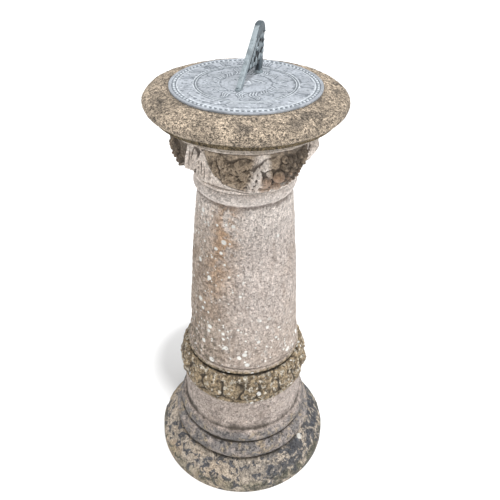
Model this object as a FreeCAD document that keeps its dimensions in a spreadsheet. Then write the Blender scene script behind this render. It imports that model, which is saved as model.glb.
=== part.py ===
import FreeCAD, Part
import math
import os
import re

import Sketcher

# A garden sundial: a stone pedestal in five pieces, and a cast metal dial that turns on
# a spigot in the top stone. Millimetres, +Z up, origin at the middle of the underside.
# North on the dial is +Y, so the gnomon stands in the plane x = 0 and points up towards +Y.

DIMENSIONS = {
    # plinth
    "base_radius": 195,
    "base_rim_height": 16,
    "base_round": 7,
    "base_dome_setback": 5.6,
    "base_dome_radius": 130,
    "base_seat_radius": 150,
    "base_height": 60,
    # mortar joints and their dowels
    "joint_gap": 3,
    "joint_setback": 4,
    "dowel_radius": 8,
    "dowel_hole_radius": 12,
    "dowel_depth": 42,
    "dowel_chamfer": 1.5,
    # foot: two tori, a drum, the leaf wreath and a roll
    "lower_torus_height": 41,
    "lower_torus_curve": 22,
    "groove_radius": 137,
    "groove_width": 4,
    "upper_torus_height": 30,
    "upper_torus_curve": 17,
    "drum_radius": 132,
    "drum_flare": 3,
    "drum_top_radius": 134,
    "drum_height": 94,
    "drum_hollow": 560,
    "wreath_foot_radius": 136,
    "wreath_belly_radius": 140,
    "wreath_top_radius": 119,
    "wreath_height": 68,
    "wreath_curve": 62,
    "wreath_leaves": 20,
    "leaf_half_height": 27,
    "leaf_half_width": 19,
    "leaf_depth": 14,
    "leaf_drop": 1,
    "roll_height": 12,
    "roll_radius": 117.5,
    "roll_curve": 7,
    # shaft, on a collar, with the astragal at its neck
    "shaft_height": 392,
    "collar_height": 24,
    "collar_rise": 4,
    "collar_radius": 117,
    "shaft_foot_radius": 112.5,
    "shaft_neck_radius": 87,
    "shaft_entasis": 4200,
    "astragal_height": 23,
    "astragal_radius": 87.5,
    "astragal_curve": 13.5,
    # capital
    "capital_height": 108,
    "capital_foot_radius": 93,
    "capital_foot_height": 5,
    "bell_foot_radius": 90,
    "bell_top_radius": 119,
    "bell_top_height": 92,
    "bell_hollow": 170,
    "abacus_radius": 130,
    "abacus_height": 8,
    "capital_seat_radius": 124,
    "swags": 3,
    "swag_angle": 35.6,
    "swag_half_width": 42,
    "swag_drop": 46,
    "swag_high": 78,
    "swag_fruits": 9,
    "swag_fruit_radius": 20,
    "swag_end_fruit_radius": 12,
    "swag_stand_off": 11,
    "knot_folds": 4,
    "knot_radius": 13,
    "knot_fold_drop": 15,
    "knot_stand_off": 6,
    # table
    "table_height": 43,
    "table_seat_radius": 156,
    "table_fillet_height": 9,
    "table_under_radius": 163,
    "table_radius": 172,
    "table_belly_height": 23,
    "table_under_curve": 17,
    "table_brow_radius": 162,
    "table_brow_height": 36,
    "table_brow_curve": 16,
    "table_top_radius": 130,
    # socket in the table
    "recess_radius": 26,
    "recess_depth": 12.5,
    "socket_hole_radius": 14,
    "socket_depth": 36,
    "bush_radius": 9,
    "bush_floor": 2,
    # spigot, its nut and washer
    "spigot_radius": 6,
    "spigot_clearance": 0.05,
    "spigot_thread_radius": 5,
    "spigot_length": 18,
    "spigot_chamfer": 1,
    "thread_in_plate": 6,
    "nut_flats": 17,
    "nut_height": 4.6,
    "washer_radius": 10.5,
    "washer_height": 1.5,
    # dial plate
    "dial_lift": 0.3,
    "dial_radius": 127,
    "dial_thickness": 2.6,
    "dial_lip_radius": 122.5,
    "dial_lip_height": 0.9,
    "hour_ring_radius": 115,
    "hour_ring_height": 0.5,
    "inner_ring_radius": 87,
    "inner_ring_inside": 82,
    "inner_ring_height": 0.6,
    "sun_radius": 41,
    "sun_height": 0.8,
    "ray_length": 31,
    "ray_width": 9,
    "ray_tip_width": 2,
    "ray_sink": 1,
    "rays": 16,
    "bead_radius": 2.4,
    "bead_sink": 1.5,
    "beads": 88,
    # hour marks, from VI through noon to VI, and the plain ribbon opposite noon
    "hour_latitude": 51.5,
    "hour_centre_south": 12,
    "hours_from_noon": 6,
    "hour_mark_radius": 93,
    "hour_mark_length": 18,
    "hour_mark_width": 2,
    "ribbon_inside": 92,
    "ribbon_outside": 104,
    "ribbon_angle": 82,
    "boss_radius": 16,
    "boss_height": 5,
    # gnomon: distances along the noon line are from the dial's centre, + to the north
    "latitude": 43,
    "toe_south": 39,
    "heel_north": 59,
    "style_width": 8,
    "style_depth": 8,
    "tip_height": 82,
    "nose_start": 72,
    "nose_round": 6,
    "nose_curve": 21,
    "back_north": 78,
    "back_height": 45,
    "back_top": 70,
    "back_curve": 82,
    "web_thickness": 4.5,
    "web_underside": 17,
    "openings": 5,
    "opening_first_height": 25,
    "opening_pitch": 7,
    "opening_radius": 2.6,
    "opening_growth": 0.35,
    "opening_wall": 2,
    "slot_height": 26,
    "slot_top": 51,
    "slot_north": 58,
    "slot_foot_width": 4,
    "slot_width": 8,
    "slot_curve": 30,
    "post_width": 13,
    "foot_pad_radius": 7,
    "foot_seat_margin": 1,
    # screws from under the plate into the gnomon's feet
    "screw_radius": 2,
    "screw_head_radius": 4,
    "screw_head_height": 2,
    "screw_length": 8,
}

doc = FreeCAD.newDocument("garden_sundial")
sheet = doc.addObject("Spreadsheet::Sheet", "Dimensions")
for row, (alias, value) in enumerate(DIMENSIONS.items(), start=1):
    sheet.set(f"A{row}", alias)
    sheet.set(f"B{row}", str(value))
    sheet.setAlias(f"B{row}", alias)
doc.recompute()

QUALIFIED = {alias: f"Dimensions.{alias}" for alias in DIMENSIONS}
pieces = []


def qualified(expression):
    """The expression with every sheet alias written as Dimensions.alias."""
    return re.sub(r"[a-z_]\w*", lambda word: QUALIFIED.get(word.group(), word.group()), expression)


def value_of(expression):
    """The number that an expression on the sheet has now."""
    answer = sheet.evalExpression(qualified(expression))
    return float(getattr(answer, "Value", answer))


def origin_plane(body, role):
    return next(feature for feature in body.Origin.OriginFeatures if feature.Role == role)


def new_body(label, height="0", is_piece=True):
    """A body standing at a height above the ground, which the sheet gives. It is a piece
    of its own unless it only helps to make one."""
    body = doc.addObject("PartDesign::Body", label)
    body.Label = label
    body.setExpression("Placement.Base.z", qualified(height))
    if is_piece:
        pieces.append(body)
    return body


def new_sketch(body, name, role="XZ_Plane"):
    sketch = body.newObject("Sketcher::SketchObject", name)
    sketch.AttachmentSupport = (origin_plane(body, role), [""])
    sketch.MapMode = "FlatFace"
    return sketch


def bind(sketch, kind, geometry, point, expression):
    """A distance from the sketch's origin to a point, or a radius, bound to the sheet."""
    value = value_of(expression)
    if kind == "Radius":
        index = sketch.addConstraint(Sketcher.Constraint(kind, geometry, value))
    else:
        index = sketch.addConstraint(Sketcher.Constraint(kind, -1, 1, geometry, point, value))
    name = f"{kind.lower()}_{index}"
    sketch.renameConstraint(index, name)
    sketch.setExpression(f"Constraints.{name}", qualified(expression))


def arc_between(start, end, radius):
    """The shorter arc from start to end; it bulges right of the way there if radius > 0."""
    along = end - start
    middle = (start + end) * 0.5
    left = FreeCAD.Vector(-along.y, along.x, 0).normalize()
    rise = math.sqrt(radius * radius - along.Length * along.Length / 4)
    centre = middle + left * math.copysign(rise, radius)
    first, last = (start, end) if radius > 0 else (end, start)
    circle = Part.Circle(centre, FreeCAD.Vector(0, 0, 1), abs(radius))
    first_angle = math.atan2(first.y - centre.y, first.x - centre.x)
    last_angle = math.atan2(last.y - centre.y, last.x - centre.x)
    if last_angle < first_angle:
        last_angle += 2 * math.pi
    return Part.ArcOfCircle(circle, first_angle, last_angle)


def draw_outline(sketch, outline):
    """A closed outline, counter-clockwise. Each corner is (across, up, curve): curve is the
    radius of the arc to the next corner, "" for a straight edge, and starts with - where
    the arc is hollow. A coordinate of "0" lies on the axis."""
    corners = [FreeCAD.Vector(value_of(across), value_of(up), 0) for across, up, _ in outline]
    starts = []
    for index, (across, up, curve) in enumerate(outline):
        start = corners[index]
        end = corners[(index + 1) % len(corners)]
        if curve:
            hollow = curve.startswith("-")
            radius = value_of(curve.lstrip("-"))
            shape = arc_between(start, end, -radius if hollow else radius)
            starts.append((2, 1) if hollow else (1, 2))
        else:
            shape = Part.LineSegment(start, end)
            starts.append((1, 2))
        sketch.addGeometry(shape, False)
    for index, (across, up, curve) in enumerate(outline):
        following = (index + 1) % len(outline)
        end_here = starts[index][1]
        start_there = starts[following][0]
        sketch.addConstraint(
            Sketcher.Constraint("Coincident", index, end_here, following, start_there))
        point = starts[index][0]
        for kind, expression, axis in (("DistanceX", across, -2), ("DistanceY", up, -1)):
            if expression == "0":
                sketch.addConstraint(Sketcher.Constraint("PointOnObject", index, point, axis))
            else:
                bind(sketch, kind, index, point, expression)
        if curve:
            bind(sketch, "Radius", index, point, curve.lstrip("-"))


def turn(body, name, outline, role="XZ_Plane", angle="360"):
    """A solid of revolution about the body's own Z axis, spread evenly about its plane."""
    sketch = new_sketch(body, name + "_outline", role)
    draw_outline(sketch, outline)
    doc.recompute()
    turned = body.newObject("PartDesign::Revolution", name)
    turned.Profile = sketch
    turned.ReferenceAxis = (sketch, ["V_Axis"])
    turned.Midplane = angle != "360"
    turned.setExpression("Angle", qualified(angle))
    return turned


def pad(body, name, sketch, length):
    feature = body.newObject("PartDesign::Pad", name)
    feature.Profile = sketch
    feature.setExpression("Length", qualified(length))
    return feature


def repeat_round(body, name, feature, count):
    """Copies of a feature all the way round the body's Z axis."""
    doc.recompute()
    pattern = body.newObject("PartDesign::PolarPattern", name)
    pattern.Originals = [feature]
    pattern.Axis = (origin_plane(body, "Z_Axis"), [""])
    pattern.Angle = 360
    pattern.Refine = False
    pattern.setExpression("Occurrences", qualified(count))
    body.Tip = pattern
    return pattern


# Heights of the beds, each from the one below it.
FOOT_BED = "base_height"
FOOT = "base_height + joint_gap"
FOOT_HEIGHT = ("lower_torus_height + groove_width + upper_torus_height + drum_height"
               " + wreath_height + roll_height")
SHAFT_BED = f"{FOOT} + {FOOT_HEIGHT}"
SHAFT = SHAFT_BED + " + joint_gap"
CAPITAL_BED = SHAFT + " + shaft_height"
CAPITAL = CAPITAL_BED + " + joint_gap"
TABLE_BED = CAPITAL + " + capital_height"
TABLE = TABLE_BED + " + joint_gap"
TABLE_TOP = TABLE + " + table_height"
DIAL = TABLE_TOP + " + dial_lift"
DIAL_FACE = DIAL + " + dial_thickness"


def lower_dowel_hole():
    """The corners of a dowel hole in a stone's underside, from the axis outwards."""
    return [("0", "dowel_depth", ""), ("dowel_hole_radius", "dowel_depth", ""),
            ("dowel_hole_radius", "0", "")]


def upper_dowel_hole(height):
    """The corners of a dowel hole in a stone's top, back in to the axis."""
    return [("dowel_hole_radius", height, ""),
            ("dowel_hole_radius", height + " - dowel_depth", ""),
            ("0", height + " - dowel_depth", "")]


def make_base_stone():
    """The round plinth: a low rim, then a domed top up to a flat seat."""
    body = new_body("base_stone")
    outline = [
        ("0", "0", ""),
        ("base_radius", "0", ""),
        ("base_radius", "base_rim_height", "base_round"),
        ("base_radius - base_dome_setback", "base_rim_height + base_round", "base_dome_radius"),
        ("base_seat_radius", "base_height", ""),
    ]
    turn(body, "plinth", outline + upper_dowel_hole("base_height"))


def make_foot_stone():
    """Two tori with a groove between them, a drum, the leaf wreath on it and a thin roll."""
    body = new_body("foot_stone", FOOT)
    groove = "lower_torus_height"
    torus = groove + " + groove_width"
    drum = torus + " + upper_torus_height"
    wreath = drum + " + drum_height"
    roll = wreath + " + wreath_height"
    outline = lower_dowel_hole() + [
        ("base_seat_radius - joint_setback", "0", "lower_torus_curve"),
        ("groove_radius", groove, ""),
        ("groove_radius", torus, "upper_torus_curve"),
        ("drum_radius + drum_flare", drum, ""),
        ("drum_radius", drum + " + drum_flare", "-drum_hollow"),
        ("drum_top_radius", wreath, ""),
        ("wreath_foot_radius", wreath, "wreath_curve"),
        ("wreath_top_radius", roll, ""),
        ("roll_radius", roll, "roll_curve"),
        ("roll_radius", FOOT_HEIGHT, ""),
    ]
    turn(body, "tori_drum_and_wreath", outline + upper_dowel_hole(FOOT_HEIGHT))
    doc.recompute()
    leaf = body.newObject("PartDesign::AdditiveEllipsoid", "leaf")
    leaf.AttachmentSupport = (origin_plane(body, "XY_Plane"), [""])
    leaf.MapMode = "FlatFace"
    leaf.setExpression("Radius1", qualified("leaf_half_height"))
    leaf.setExpression("Radius2", qualified("leaf_depth"))
    leaf.setExpression("Radius3", qualified("leaf_half_width"))
    leaf.setExpression("AttachmentOffset.Base.x", qualified("wreath_belly_radius - leaf_depth"))
    leaf.setExpression("AttachmentOffset.Base.z", qualified(wreath + " + leaf_half_height - leaf_drop"))
    repeat_round(body, "wreath", leaf, "wreath_leaves")


def make_shaft_stone():
    """The tapered shaft on its collar, with the astragal at its neck."""
    body = new_body("shaft_stone", SHAFT)
    astragal = "shaft_height - astragal_height"
    outline = lower_dowel_hole() + [
        ("collar_radius", "0", ""),
        ("collar_radius", "collar_height", ""),
        ("shaft_foot_radius", "collar_height + collar_rise", "shaft_entasis"),
        ("shaft_neck_radius", astragal, ""),
        ("astragal_radius", astragal, "astragal_curve"),
        ("astragal_radius", "shaft_height", ""),
    ]
    turn(body, "turned_shaft", outline + upper_dowel_hole("shaft_height"))


def make_capital_stone():
    """The bell of the capital with three fruit garlands hung between cloth knots."""
    body = new_body("capital_bell", CAPITAL, is_piece=False)
    abacus = "capital_height - abacus_height"
    outline = lower_dowel_hole() + [
        ("capital_foot_radius", "0", ""),
        ("capital_foot_radius", "capital_foot_height", ""),
        ("bell_foot_radius", "capital_foot_height", "-bell_hollow"),
        ("bell_top_radius", "bell_top_height", ""),
        ("abacus_radius", abacus, ""),
        ("abacus_radius", "capital_height", ""),
        ("0", "capital_height", ""),
    ]
    turn(body, "bell", outline)
    parts = [body]
    swags = int(value_of("swags"))
    fruits = int(value_of("swag_fruits"))
    for swag in range(swags):
        middle = value_of("swag_angle") - 90 + swag * 360 / swags
        for fruit in range(fruits):
            along = 2 * fruit / (fruits - 1) - 1
            bow = along * along
            size = f"swag_fruit_radius - (swag_fruit_radius - swag_end_fruit_radius) * {bow}"
            height = f"swag_high - swag_drop * {1 - bow}"
            azimuth = middle + value_of("swag_half_width") * along
            parts.append(add_ball(f"fruit_{swag}_{fruit}", azimuth, height, size, "swag_stand_off"))
        for fold in range(int(value_of("knot_folds"))):
            height = f"swag_high - knot_fold_drop * {fold}"
            azimuth = middle + 180 / swags
            parts.append(add_ball(
                f"knot_{swag}_{fold}", azimuth, height, "knot_radius", "knot_stand_off"))
    capital = doc.addObject("Part::MultiFuse", "capital_stone")
    capital.Shapes = parts
    capital.Label = "capital_stone"
    pieces.append(capital)


def add_ball(name, azimuth, height, size, stand_off):
    """A ball on the bell's side: its middle stands off the bell, at a height above the
    capital's underside."""
    ball = doc.addObject("Part::Sphere", name)
    rise = f"(({height} - capital_foot_height) / bell_top_height)"
    bell = f"bell_foot_radius + (bell_top_radius - bell_foot_radius) * {rise} ^ 2"
    angle = math.radians(azimuth)
    # one of the ball's poles faces outwards, and the other lies inside the bell
    outwards = FreeCAD.Vector(math.cos(angle), math.sin(angle), 0)
    leaning = FreeCAD.Rotation(FreeCAD.Vector(0, 0, 1), outwards)
    ball.Placement = FreeCAD.Placement(FreeCAD.Vector(), leaning)
    ball.setExpression("Radius", qualified(size))
    for axis, share in (("x", math.cos(angle)), ("y", math.sin(angle))):
        ball.setExpression(f"Placement.Base.{axis}", qualified(f"({bell} + {stand_off}) * {share}"))
    ball.setExpression("Placement.Base.z", qualified(f"{CAPITAL} + {height}"))
    return ball


def make_table_stone():
    """The round top slab: a fillet below, a bullnose edge, and a socket in its middle."""
    body = new_body("table_stone", TABLE)
    recess = "table_height - recess_depth"
    floor = "table_height - socket_depth"
    outline = [
        ("0", "0", ""),
        ("table_seat_radius", "0", ""),
        ("table_seat_radius", "table_fillet_height", ""),
        ("table_under_radius", "table_fillet_height", "table_under_curve"),
        ("table_radius", "table_belly_height", "table_brow_curve"),
        ("table_brow_radius", "table_brow_height", "table_radius"),
        ("table_top_radius", "table_height", ""),
        ("recess_radius", "table_height", ""),
        ("recess_radius", recess, ""),
        ("socket_hole_radius", recess, ""),
        ("socket_hole_radius", floor, ""),
        ("0", floor, ""),
    ]
    turn(body, "slab", outline)


def make_mortar(label, bed, radius):
    """A mortar bed set back from the stones' edges, with the grout round its dowel."""
    body = new_body(label, bed + " - dowel_depth")
    under = "dowel_depth"
    over = "dowel_depth + joint_gap"
    top = over + " + dowel_depth"
    outline = [
        ("dowel_radius", "0", ""),
        ("dowel_hole_radius", "0", ""),
        ("dowel_hole_radius", under, ""),
        (radius, under, ""),
        (radius, over, ""),
        ("dowel_hole_radius", over, ""),
        ("dowel_hole_radius", top, ""),
        ("dowel_radius", top, ""),
    ]
    turn(body, "bed", outline)


def make_table_mortar():
    """The plain bed that the table is levelled on."""
    body = new_body("table_mortar", TABLE_BED)
    radius = "capital_seat_radius"
    outline = [("0", "0", ""), (radius, "0", ""), (radius, "joint_gap", ""),
               ("0", "joint_gap", "")]
    turn(body, "bed", outline)


def make_dowel(label, bed):
    """A steel dowel with chamfered ends, centred in its joint."""
    body = new_body(label, bed + " - dowel_depth")
    end = "2 * dowel_depth + joint_gap"
    narrow = "dowel_radius - dowel_chamfer"
    outline = [
        ("0", "0", ""),
        (narrow, "0", ""),
        ("dowel_radius", "dowel_chamfer", ""),
        ("dowel_radius", end + " - dowel_chamfer", ""),
        (narrow, end, ""),
        ("0", end, ""),
    ]
    turn(body, "rod", outline)


def make_socket():
    """The bush in the table's socket, and the grout round and under it."""
    bush_height = "( socket_depth - recess_depth - bush_floor )"
    bore = "spigot_radius + spigot_clearance"
    bush = new_body("socket_bush", TABLE_TOP + " - socket_depth + bush_floor")
    turn(bush, "bush", [
        ("0", "0", ""),
        ("bush_radius", "0", ""),
        ("bush_radius", bush_height, ""),
        (bore, bush_height, ""),
        (bore, "bush_floor", ""),
        ("0", "bush_floor", ""),
    ])
    grout = new_body("socket_grout", TABLE_TOP + " - socket_depth")
    turn(grout, "grout", [
        ("0", "0", ""),
        ("socket_hole_radius", "0", ""),
        ("socket_hole_radius", bush_height + " + bush_floor", ""),
        ("bush_radius", bush_height + " + bush_floor", ""),
        ("bush_radius", "bush_floor", ""),
        ("0", "bush_floor", ""),
    ])


# The gnomon's two feet, by their distance north of the dial's centre.
FEET = (("toe", "0 - toe_south"), ("heel", "heel_north"))
SPIGOT_TOP = "spigot_length + nut_height + washer_height + thread_in_plate"
SPIGOT = DIAL + " - boss_height - washer_height - nut_height - spigot_length"


def make_spigot():
    """The stud that screws into the plate's boss and turns in the bush."""
    body = new_body("dial_spigot", SPIGOT)
    narrow = "spigot_radius - spigot_chamfer"
    turn(body, "stud", [
        ("0", "0", ""),
        (narrow, "0", ""),
        ("spigot_radius", "spigot_chamfer", ""),
        ("spigot_radius", "spigot_length", ""),
        ("spigot_thread_radius", "spigot_length", ""),
        ("spigot_thread_radius", SPIGOT_TOP, ""),
        ("0", SPIGOT_TOP, ""),
    ])


def make_washer():
    body = new_body("spigot_washer", SPIGOT + " + spigot_length + nut_height")
    turn(body, "washer", [
        ("spigot_thread_radius", "0", ""),
        ("washer_radius", "0", ""),
        ("washer_radius", "washer_height", ""),
        ("spigot_thread_radius", "washer_height", ""),
    ])


def make_nut():
    """A hexagon nut: six flats cut by a regular outline, and a plain bore."""
    body = new_body("spigot_nut", SPIGOT + " + spigot_length")
    sketch = new_sketch(body, "hexagon", "XY_Plane")
    reach = value_of("nut_flats") / math.sqrt(3)
    corners = [FreeCAD.Vector(reach * math.cos(math.radians(60 * k)),
                              reach * math.sin(math.radians(60 * k)), 0) for k in range(6)]
    for k in range(6):
        sketch.addGeometry(Part.LineSegment(corners[k], corners[(k + 1) % 6]), False)
    circle = Part.Circle(FreeCAD.Vector(0, 0, 0), FreeCAD.Vector(0, 0, 1), reach)
    sketch.addGeometry(circle, True)
    sketch.addConstraint(Sketcher.Constraint("Coincident", 6, 3, -1, 1))
    for k in range(6):
        sketch.addConstraint(Sketcher.Constraint("Coincident", k, 2, (k + 1) % 6, 1))
        sketch.addConstraint(Sketcher.Constraint("PointOnObject", k, 1, 6))
    for k in range(5):
        sketch.addConstraint(Sketcher.Constraint("Equal", k, k + 1))
    sketch.addConstraint(Sketcher.Constraint("PointOnObject", 0, 1, -1))
    bind(sketch, "Radius", 6, 0, "nut_flats / sqrt(3)")
    pad(body, "blank", sketch, "nut_height")
    doc.recompute()
    bore = new_sketch(body, "bore_circle", "XY_Plane")
    draw_circle(bore, "0", "spigot_thread_radius")
    cut_hole(body, "bore", bore, "nut_height")


def draw_circle(sketch, up, radius):
    """A circle on the sketch's vertical axis."""
    index = sketch.GeometryCount
    centre = FreeCAD.Vector(0, value_of(up), 0)
    circle = Part.Circle(centre, FreeCAD.Vector(0, 0, 1), value_of(radius))
    sketch.addGeometry(circle, False)
    bind(sketch, "Radius", index, 3, radius)
    sketch.addConstraint(Sketcher.Constraint("PointOnObject", index, 3, -2))
    if up == "0":
        sketch.addConstraint(Sketcher.Constraint("PointOnObject", index, 3, -1))
    else:
        bind(sketch, "DistanceY", index, 3, up)


def cut_hole(body, name, sketch, depth):
    """A pocket that goes up from the body's XY plane."""
    doc.recompute()
    before = body.Shape.Volume
    pocket = body.newObject("PartDesign::Pocket", name)
    pocket.Profile = sketch
    pocket.Reversed = True
    pocket.setExpression("Length", qualified(depth))
    doc.recompute()
    if not body.Shape.Volume < before - 0.01:
        raise RuntimeError(f"{body.Label}: {name} cuts nothing")
    return pocket


def make_dial_plate():
    """The plate with its raised rim, rings, sun and rays, and a tapped boss underneath."""
    body = new_body("dial_plate", DIAL)
    face = "dial_thickness"
    depth = "( thread_in_plate - boss_height )"
    lip = "dial_thickness + dial_lip_height"
    hour = "dial_thickness + hour_ring_height"
    ring = "dial_thickness + inner_ring_height"
    sun = "dial_thickness + sun_height"
    turn(body, "plate", [
        ("0", depth, ""),
        ("spigot_thread_radius", depth, ""),
        ("spigot_thread_radius", "0 - boss_height", ""),
        ("boss_radius", "0 - boss_height", ""),
        ("boss_radius", "0", ""),
        ("dial_radius", "0", ""),
        ("dial_radius", lip, ""),
        ("dial_lip_radius", lip, ""),
        ("dial_lip_radius", face, ""),
        ("hour_ring_radius", face, ""),
        ("hour_ring_radius", hour, ""),
        ("inner_ring_radius", hour, ""),
        ("inner_ring_radius", ring, ""),
        ("inner_ring_inside", ring, ""),
        ("inner_ring_inside", face, ""),
        ("sun_radius", face, ""),
        ("sun_radius - sun_height", sun, ""),
        ("0", sun, ""),
    ])
    doc.recompute()
    ray = body.newObject("PartDesign::AdditiveWedge", "ray")
    ray.AttachmentSupport = (origin_plane(body, "XY_Plane"), [""])
    ray.MapMode = "FlatFace"
    ray.setExpression("Xmin", qualified("0 - ray_width / 2"))
    ray.setExpression("Xmax", qualified("ray_width / 2"))
    ray.setExpression("X2min", qualified("0 - ray_tip_width / 2"))
    ray.setExpression("X2max", qualified("ray_tip_width / 2"))
    ray.Ymin = 0
    ray.setExpression("Ymax", qualified("ray_length"))
    ray.setExpression("Zmin", qualified("dial_thickness / 2"))
    ray.setExpression("Zmax", qualified(sun))
    ray.setExpression("Z2min", qualified("dial_thickness / 2"))
    ray.setExpression("Z2max", qualified(ring))
    ray.setExpression("AttachmentOffset.Base.y", qualified("sun_radius - ray_sink"))
    repeat_round(body, "sunburst", ray, "rays")
    doc.recompute()
    for name, up in FEET:
        seat = body.newObject("PartDesign::AdditiveCylinder", name + "_seat")
        seat.AttachmentSupport = (origin_plane(body, "XY_Plane"), [""])
        seat.MapMode = "FlatFace"
        seat.setExpression("Radius", qualified("foot_pad_radius + foot_seat_margin"))
        seat.setExpression("Height", qualified(sun))
        seat.setExpression("AttachmentOffset.Base.y", qualified(up))
        doc.recompute()
    turn(body, "ribbon", [
        ("0 - ribbon_outside", face, ""),
        ("0 - ribbon_inside", face, ""),
        ("0 - ribbon_inside", ring, ""),
        ("0 - ribbon_outside", ring, ""),
    ], "YZ_Plane", "ribbon_angle")
    doc.recompute()
    add_hour_marks(body)
    add_screw_holes(body)
    bead = body.newObject("PartDesign::AdditiveSphere", "bead")
    bead.AttachmentSupport = (origin_plane(body, "XY_Plane"), [""])
    bead.MapMode = "FlatFace"
    bead.Angle1 = 0
    bead.setExpression("Radius", qualified("bead_radius"))
    middle = "(hour_ring_radius + dial_lip_radius) / 2"
    bead.setExpression("AttachmentOffset.Base.y", qualified(middle))
    bead.setExpression("AttachmentOffset.Base.z", qualified("dial_thickness - bead_sink"))
    repeat_round(body, "beaded_rim", bead, "beads")


def hour_angle(hour):
    """The direction of an hour's line in radians, clockwise from the noon line."""
    turn_of_sun = 2 * math.pi * hour / 24
    latitude = math.radians(value_of("hour_latitude"))
    return math.atan2(math.sin(latitude) * math.sin(turn_of_sun), math.cos(turn_of_sun))


def add_hour_marks(body):
    """A raised bar on the hour ring where each hour's line crosses it."""
    south = value_of("hour_centre_south")
    near = value_of("hour_mark_radius")
    most = int(value_of("hours_from_noon"))
    for hour in range(-most, most + 1):
        slope = hour_angle(hour)
        # distance along the hour line from where the lines meet to the near end of the mark
        reach = south * math.cos(slope) + math.sqrt(near ** 2 - (south * math.sin(slope)) ** 2)
        mark = body.newObject("PartDesign::AdditiveBox", f"hour_mark_{hour + 12}")
        mark.AttachmentSupport = (origin_plane(body, "XY_Plane"), [""])
        mark.MapMode = "FlatFace"
        mark.setExpression("Length", qualified("hour_mark_width"))
        mark.setExpression("Width", qualified("hour_mark_length"))
        mark.setExpression("Height", qualified("dial_thickness + inner_ring_height"))
        turned = FreeCAD.Rotation(FreeCAD.Vector(0, 0, 1), -math.degrees(slope))
        corner = FreeCAD.Vector(-value_of("hour_mark_width") / 2, reach, 0)
        place = turned.multVec(corner) + FreeCAD.Vector(0, -south, 0)
        mark.AttachmentOffset = FreeCAD.Placement(place, turned)
        doc.recompute()


def add_screw_holes(body):
    """Countersunk holes for the gnomon's two screws, open to the underside."""
    for name, up in FEET:
        sketch = new_sketch(body, name + "_hole_circle", "XY_Plane")
        draw_circle(sketch, up, "screw_radius")
        cut_hole(body, name + "_hole", sketch, "dial_thickness + sun_height + 1")
        sink = body.newObject("PartDesign::SubtractiveCone", name + "_countersink")
        sink.AttachmentSupport = (origin_plane(body, "XY_Plane"), [""])
        sink.MapMode = "FlatFace"
        sink.setExpression("Radius1", qualified("screw_head_radius"))
        sink.setExpression("Radius2", qualified("screw_radius"))
        sink.setExpression("Height", qualified("screw_head_height"))
        sink.setExpression("AttachmentOffset.Base.y", qualified(up))
        doc.recompute()


def make_gnomon():
    """One casting: the style bar, a pierced web behind it, and a post down to the heel."""
    body = new_body("gnomon", GNOMON)
    web = new_sketch(body, "web_outline", "YZ_Plane")
    draw_outline(web, [
        ("0 - toe_south", "0", ""),
        ("style_depth / sin(latitude * 1 deg) - toe_south", "0", ""),
        (under_style("web_underside"), "web_underside", ""),
        ("heel_north - post_width / 2", "web_underside", ""),
        ("heel_north - post_width / 2", "0", ""),
        ("heel_north + post_width / 2", "0", "back_curve"),
        ("back_north", "back_height", ""),
        ("back_north", "back_top", "nose_curve"),
        (on_style("tip_height"), "tip_height", ""),
    ])
    pad_both_ways(body, "web", web, "web_thickness")
    style = new_sketch(body, "style_outline", "YZ_Plane")
    draw_outline(style, [
        ("0 - toe_south", "0", ""),
        ("style_depth / sin(latitude * 1 deg) - toe_south", "0", ""),
        (under_style("nose_start"), "nose_start", "nose_round"),
        (on_style("tip_height"), "tip_height", ""),
    ])
    pad_both_ways(body, "style", style, "style_width")
    doc.recompute()
    for name, up in FEET:
        foot = body.newObject("PartDesign::AdditiveEllipsoid", name + "_foot")
        foot.AttachmentSupport = (origin_plane(body, "XY_Plane"), [""])
        foot.MapMode = "FlatFace"
        foot.setExpression("Radius1", qualified("foot_pad_radius"))
        foot.setExpression("Radius2", qualified("foot_pad_radius"))
        foot.setExpression("Radius3", qualified("foot_pad_radius"))
        foot.Angle1 = 0
        foot.setExpression("AttachmentOffset.Base.y", qualified(up))
        doc.recompute()
    pierce_web(body)
    for name, up in FEET:
        sketch = new_sketch(body, name + "_tapping", "XY_Plane")
        draw_circle(sketch, up, "screw_radius")
        cut_hole(body, name + "_tapped_hole", sketch, TAPPED_DEPTH)


def on_style(height):
    """Distance north of the dial's centre of the style's upper edge at a height."""
    return f"( {height} ) / tan(latitude * 1 deg) - toe_south"


def under_style(height):
    """Distance north of the dial's centre of the style's lower edge at a height."""
    return on_style(height) + " + style_depth / sin(latitude * 1 deg)"


def pad_both_ways(body, name, sketch, thickness):
    doc.recompute()
    feature = pad(body, name, sketch, thickness)
    feature.Midplane = True
    return feature


def pierce_web(body):
    """Round openings that grow up the style's lower edge, and a long one in the post."""
    openings = new_sketch(body, "openings", "YZ_Plane")
    doc.recompute()
    slope = math.radians(value_of("latitude"))
    for step in range(int(value_of("openings"))):
        height = value_of("opening_first_height") + value_of("opening_pitch") * step
        radius = value_of("opening_radius") + value_of("opening_growth") * step
        edge = value_of(under_style(str(height)))
        across = edge + (value_of("opening_wall") + radius) / math.sin(slope)
        circle = Part.Circle(FreeCAD.Vector(across, height, 0), FreeCAD.Vector(0, 0, 1), radius)
        openings.addGeometry(circle, False)
    cut_through(body, "openwork", openings)
    slot = new_sketch(body, "post_slot", "YZ_Plane")
    draw_outline(slot, [
        ("slot_north", "slot_height", ""),
        ("slot_north + slot_foot_width", "slot_height", "slot_curve"),
        ("slot_north + slot_width", "slot_top", ""),
        ("slot_north", "slot_top", ""),
    ])
    cut_through(body, "post_opening", slot)


def cut_through(body, name, sketch):
    doc.recompute()
    before = body.Shape.Volume
    pocket = body.newObject("PartDesign::Pocket", name)
    pocket.Profile = sketch
    pocket.Midplane = True
    pocket.setExpression("Length", qualified("style_width * 2"))
    doc.recompute()
    if not body.Shape.Volume < before - 0.01:
        raise RuntimeError(f"{body.Label}: {name} cuts nothing")


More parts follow.
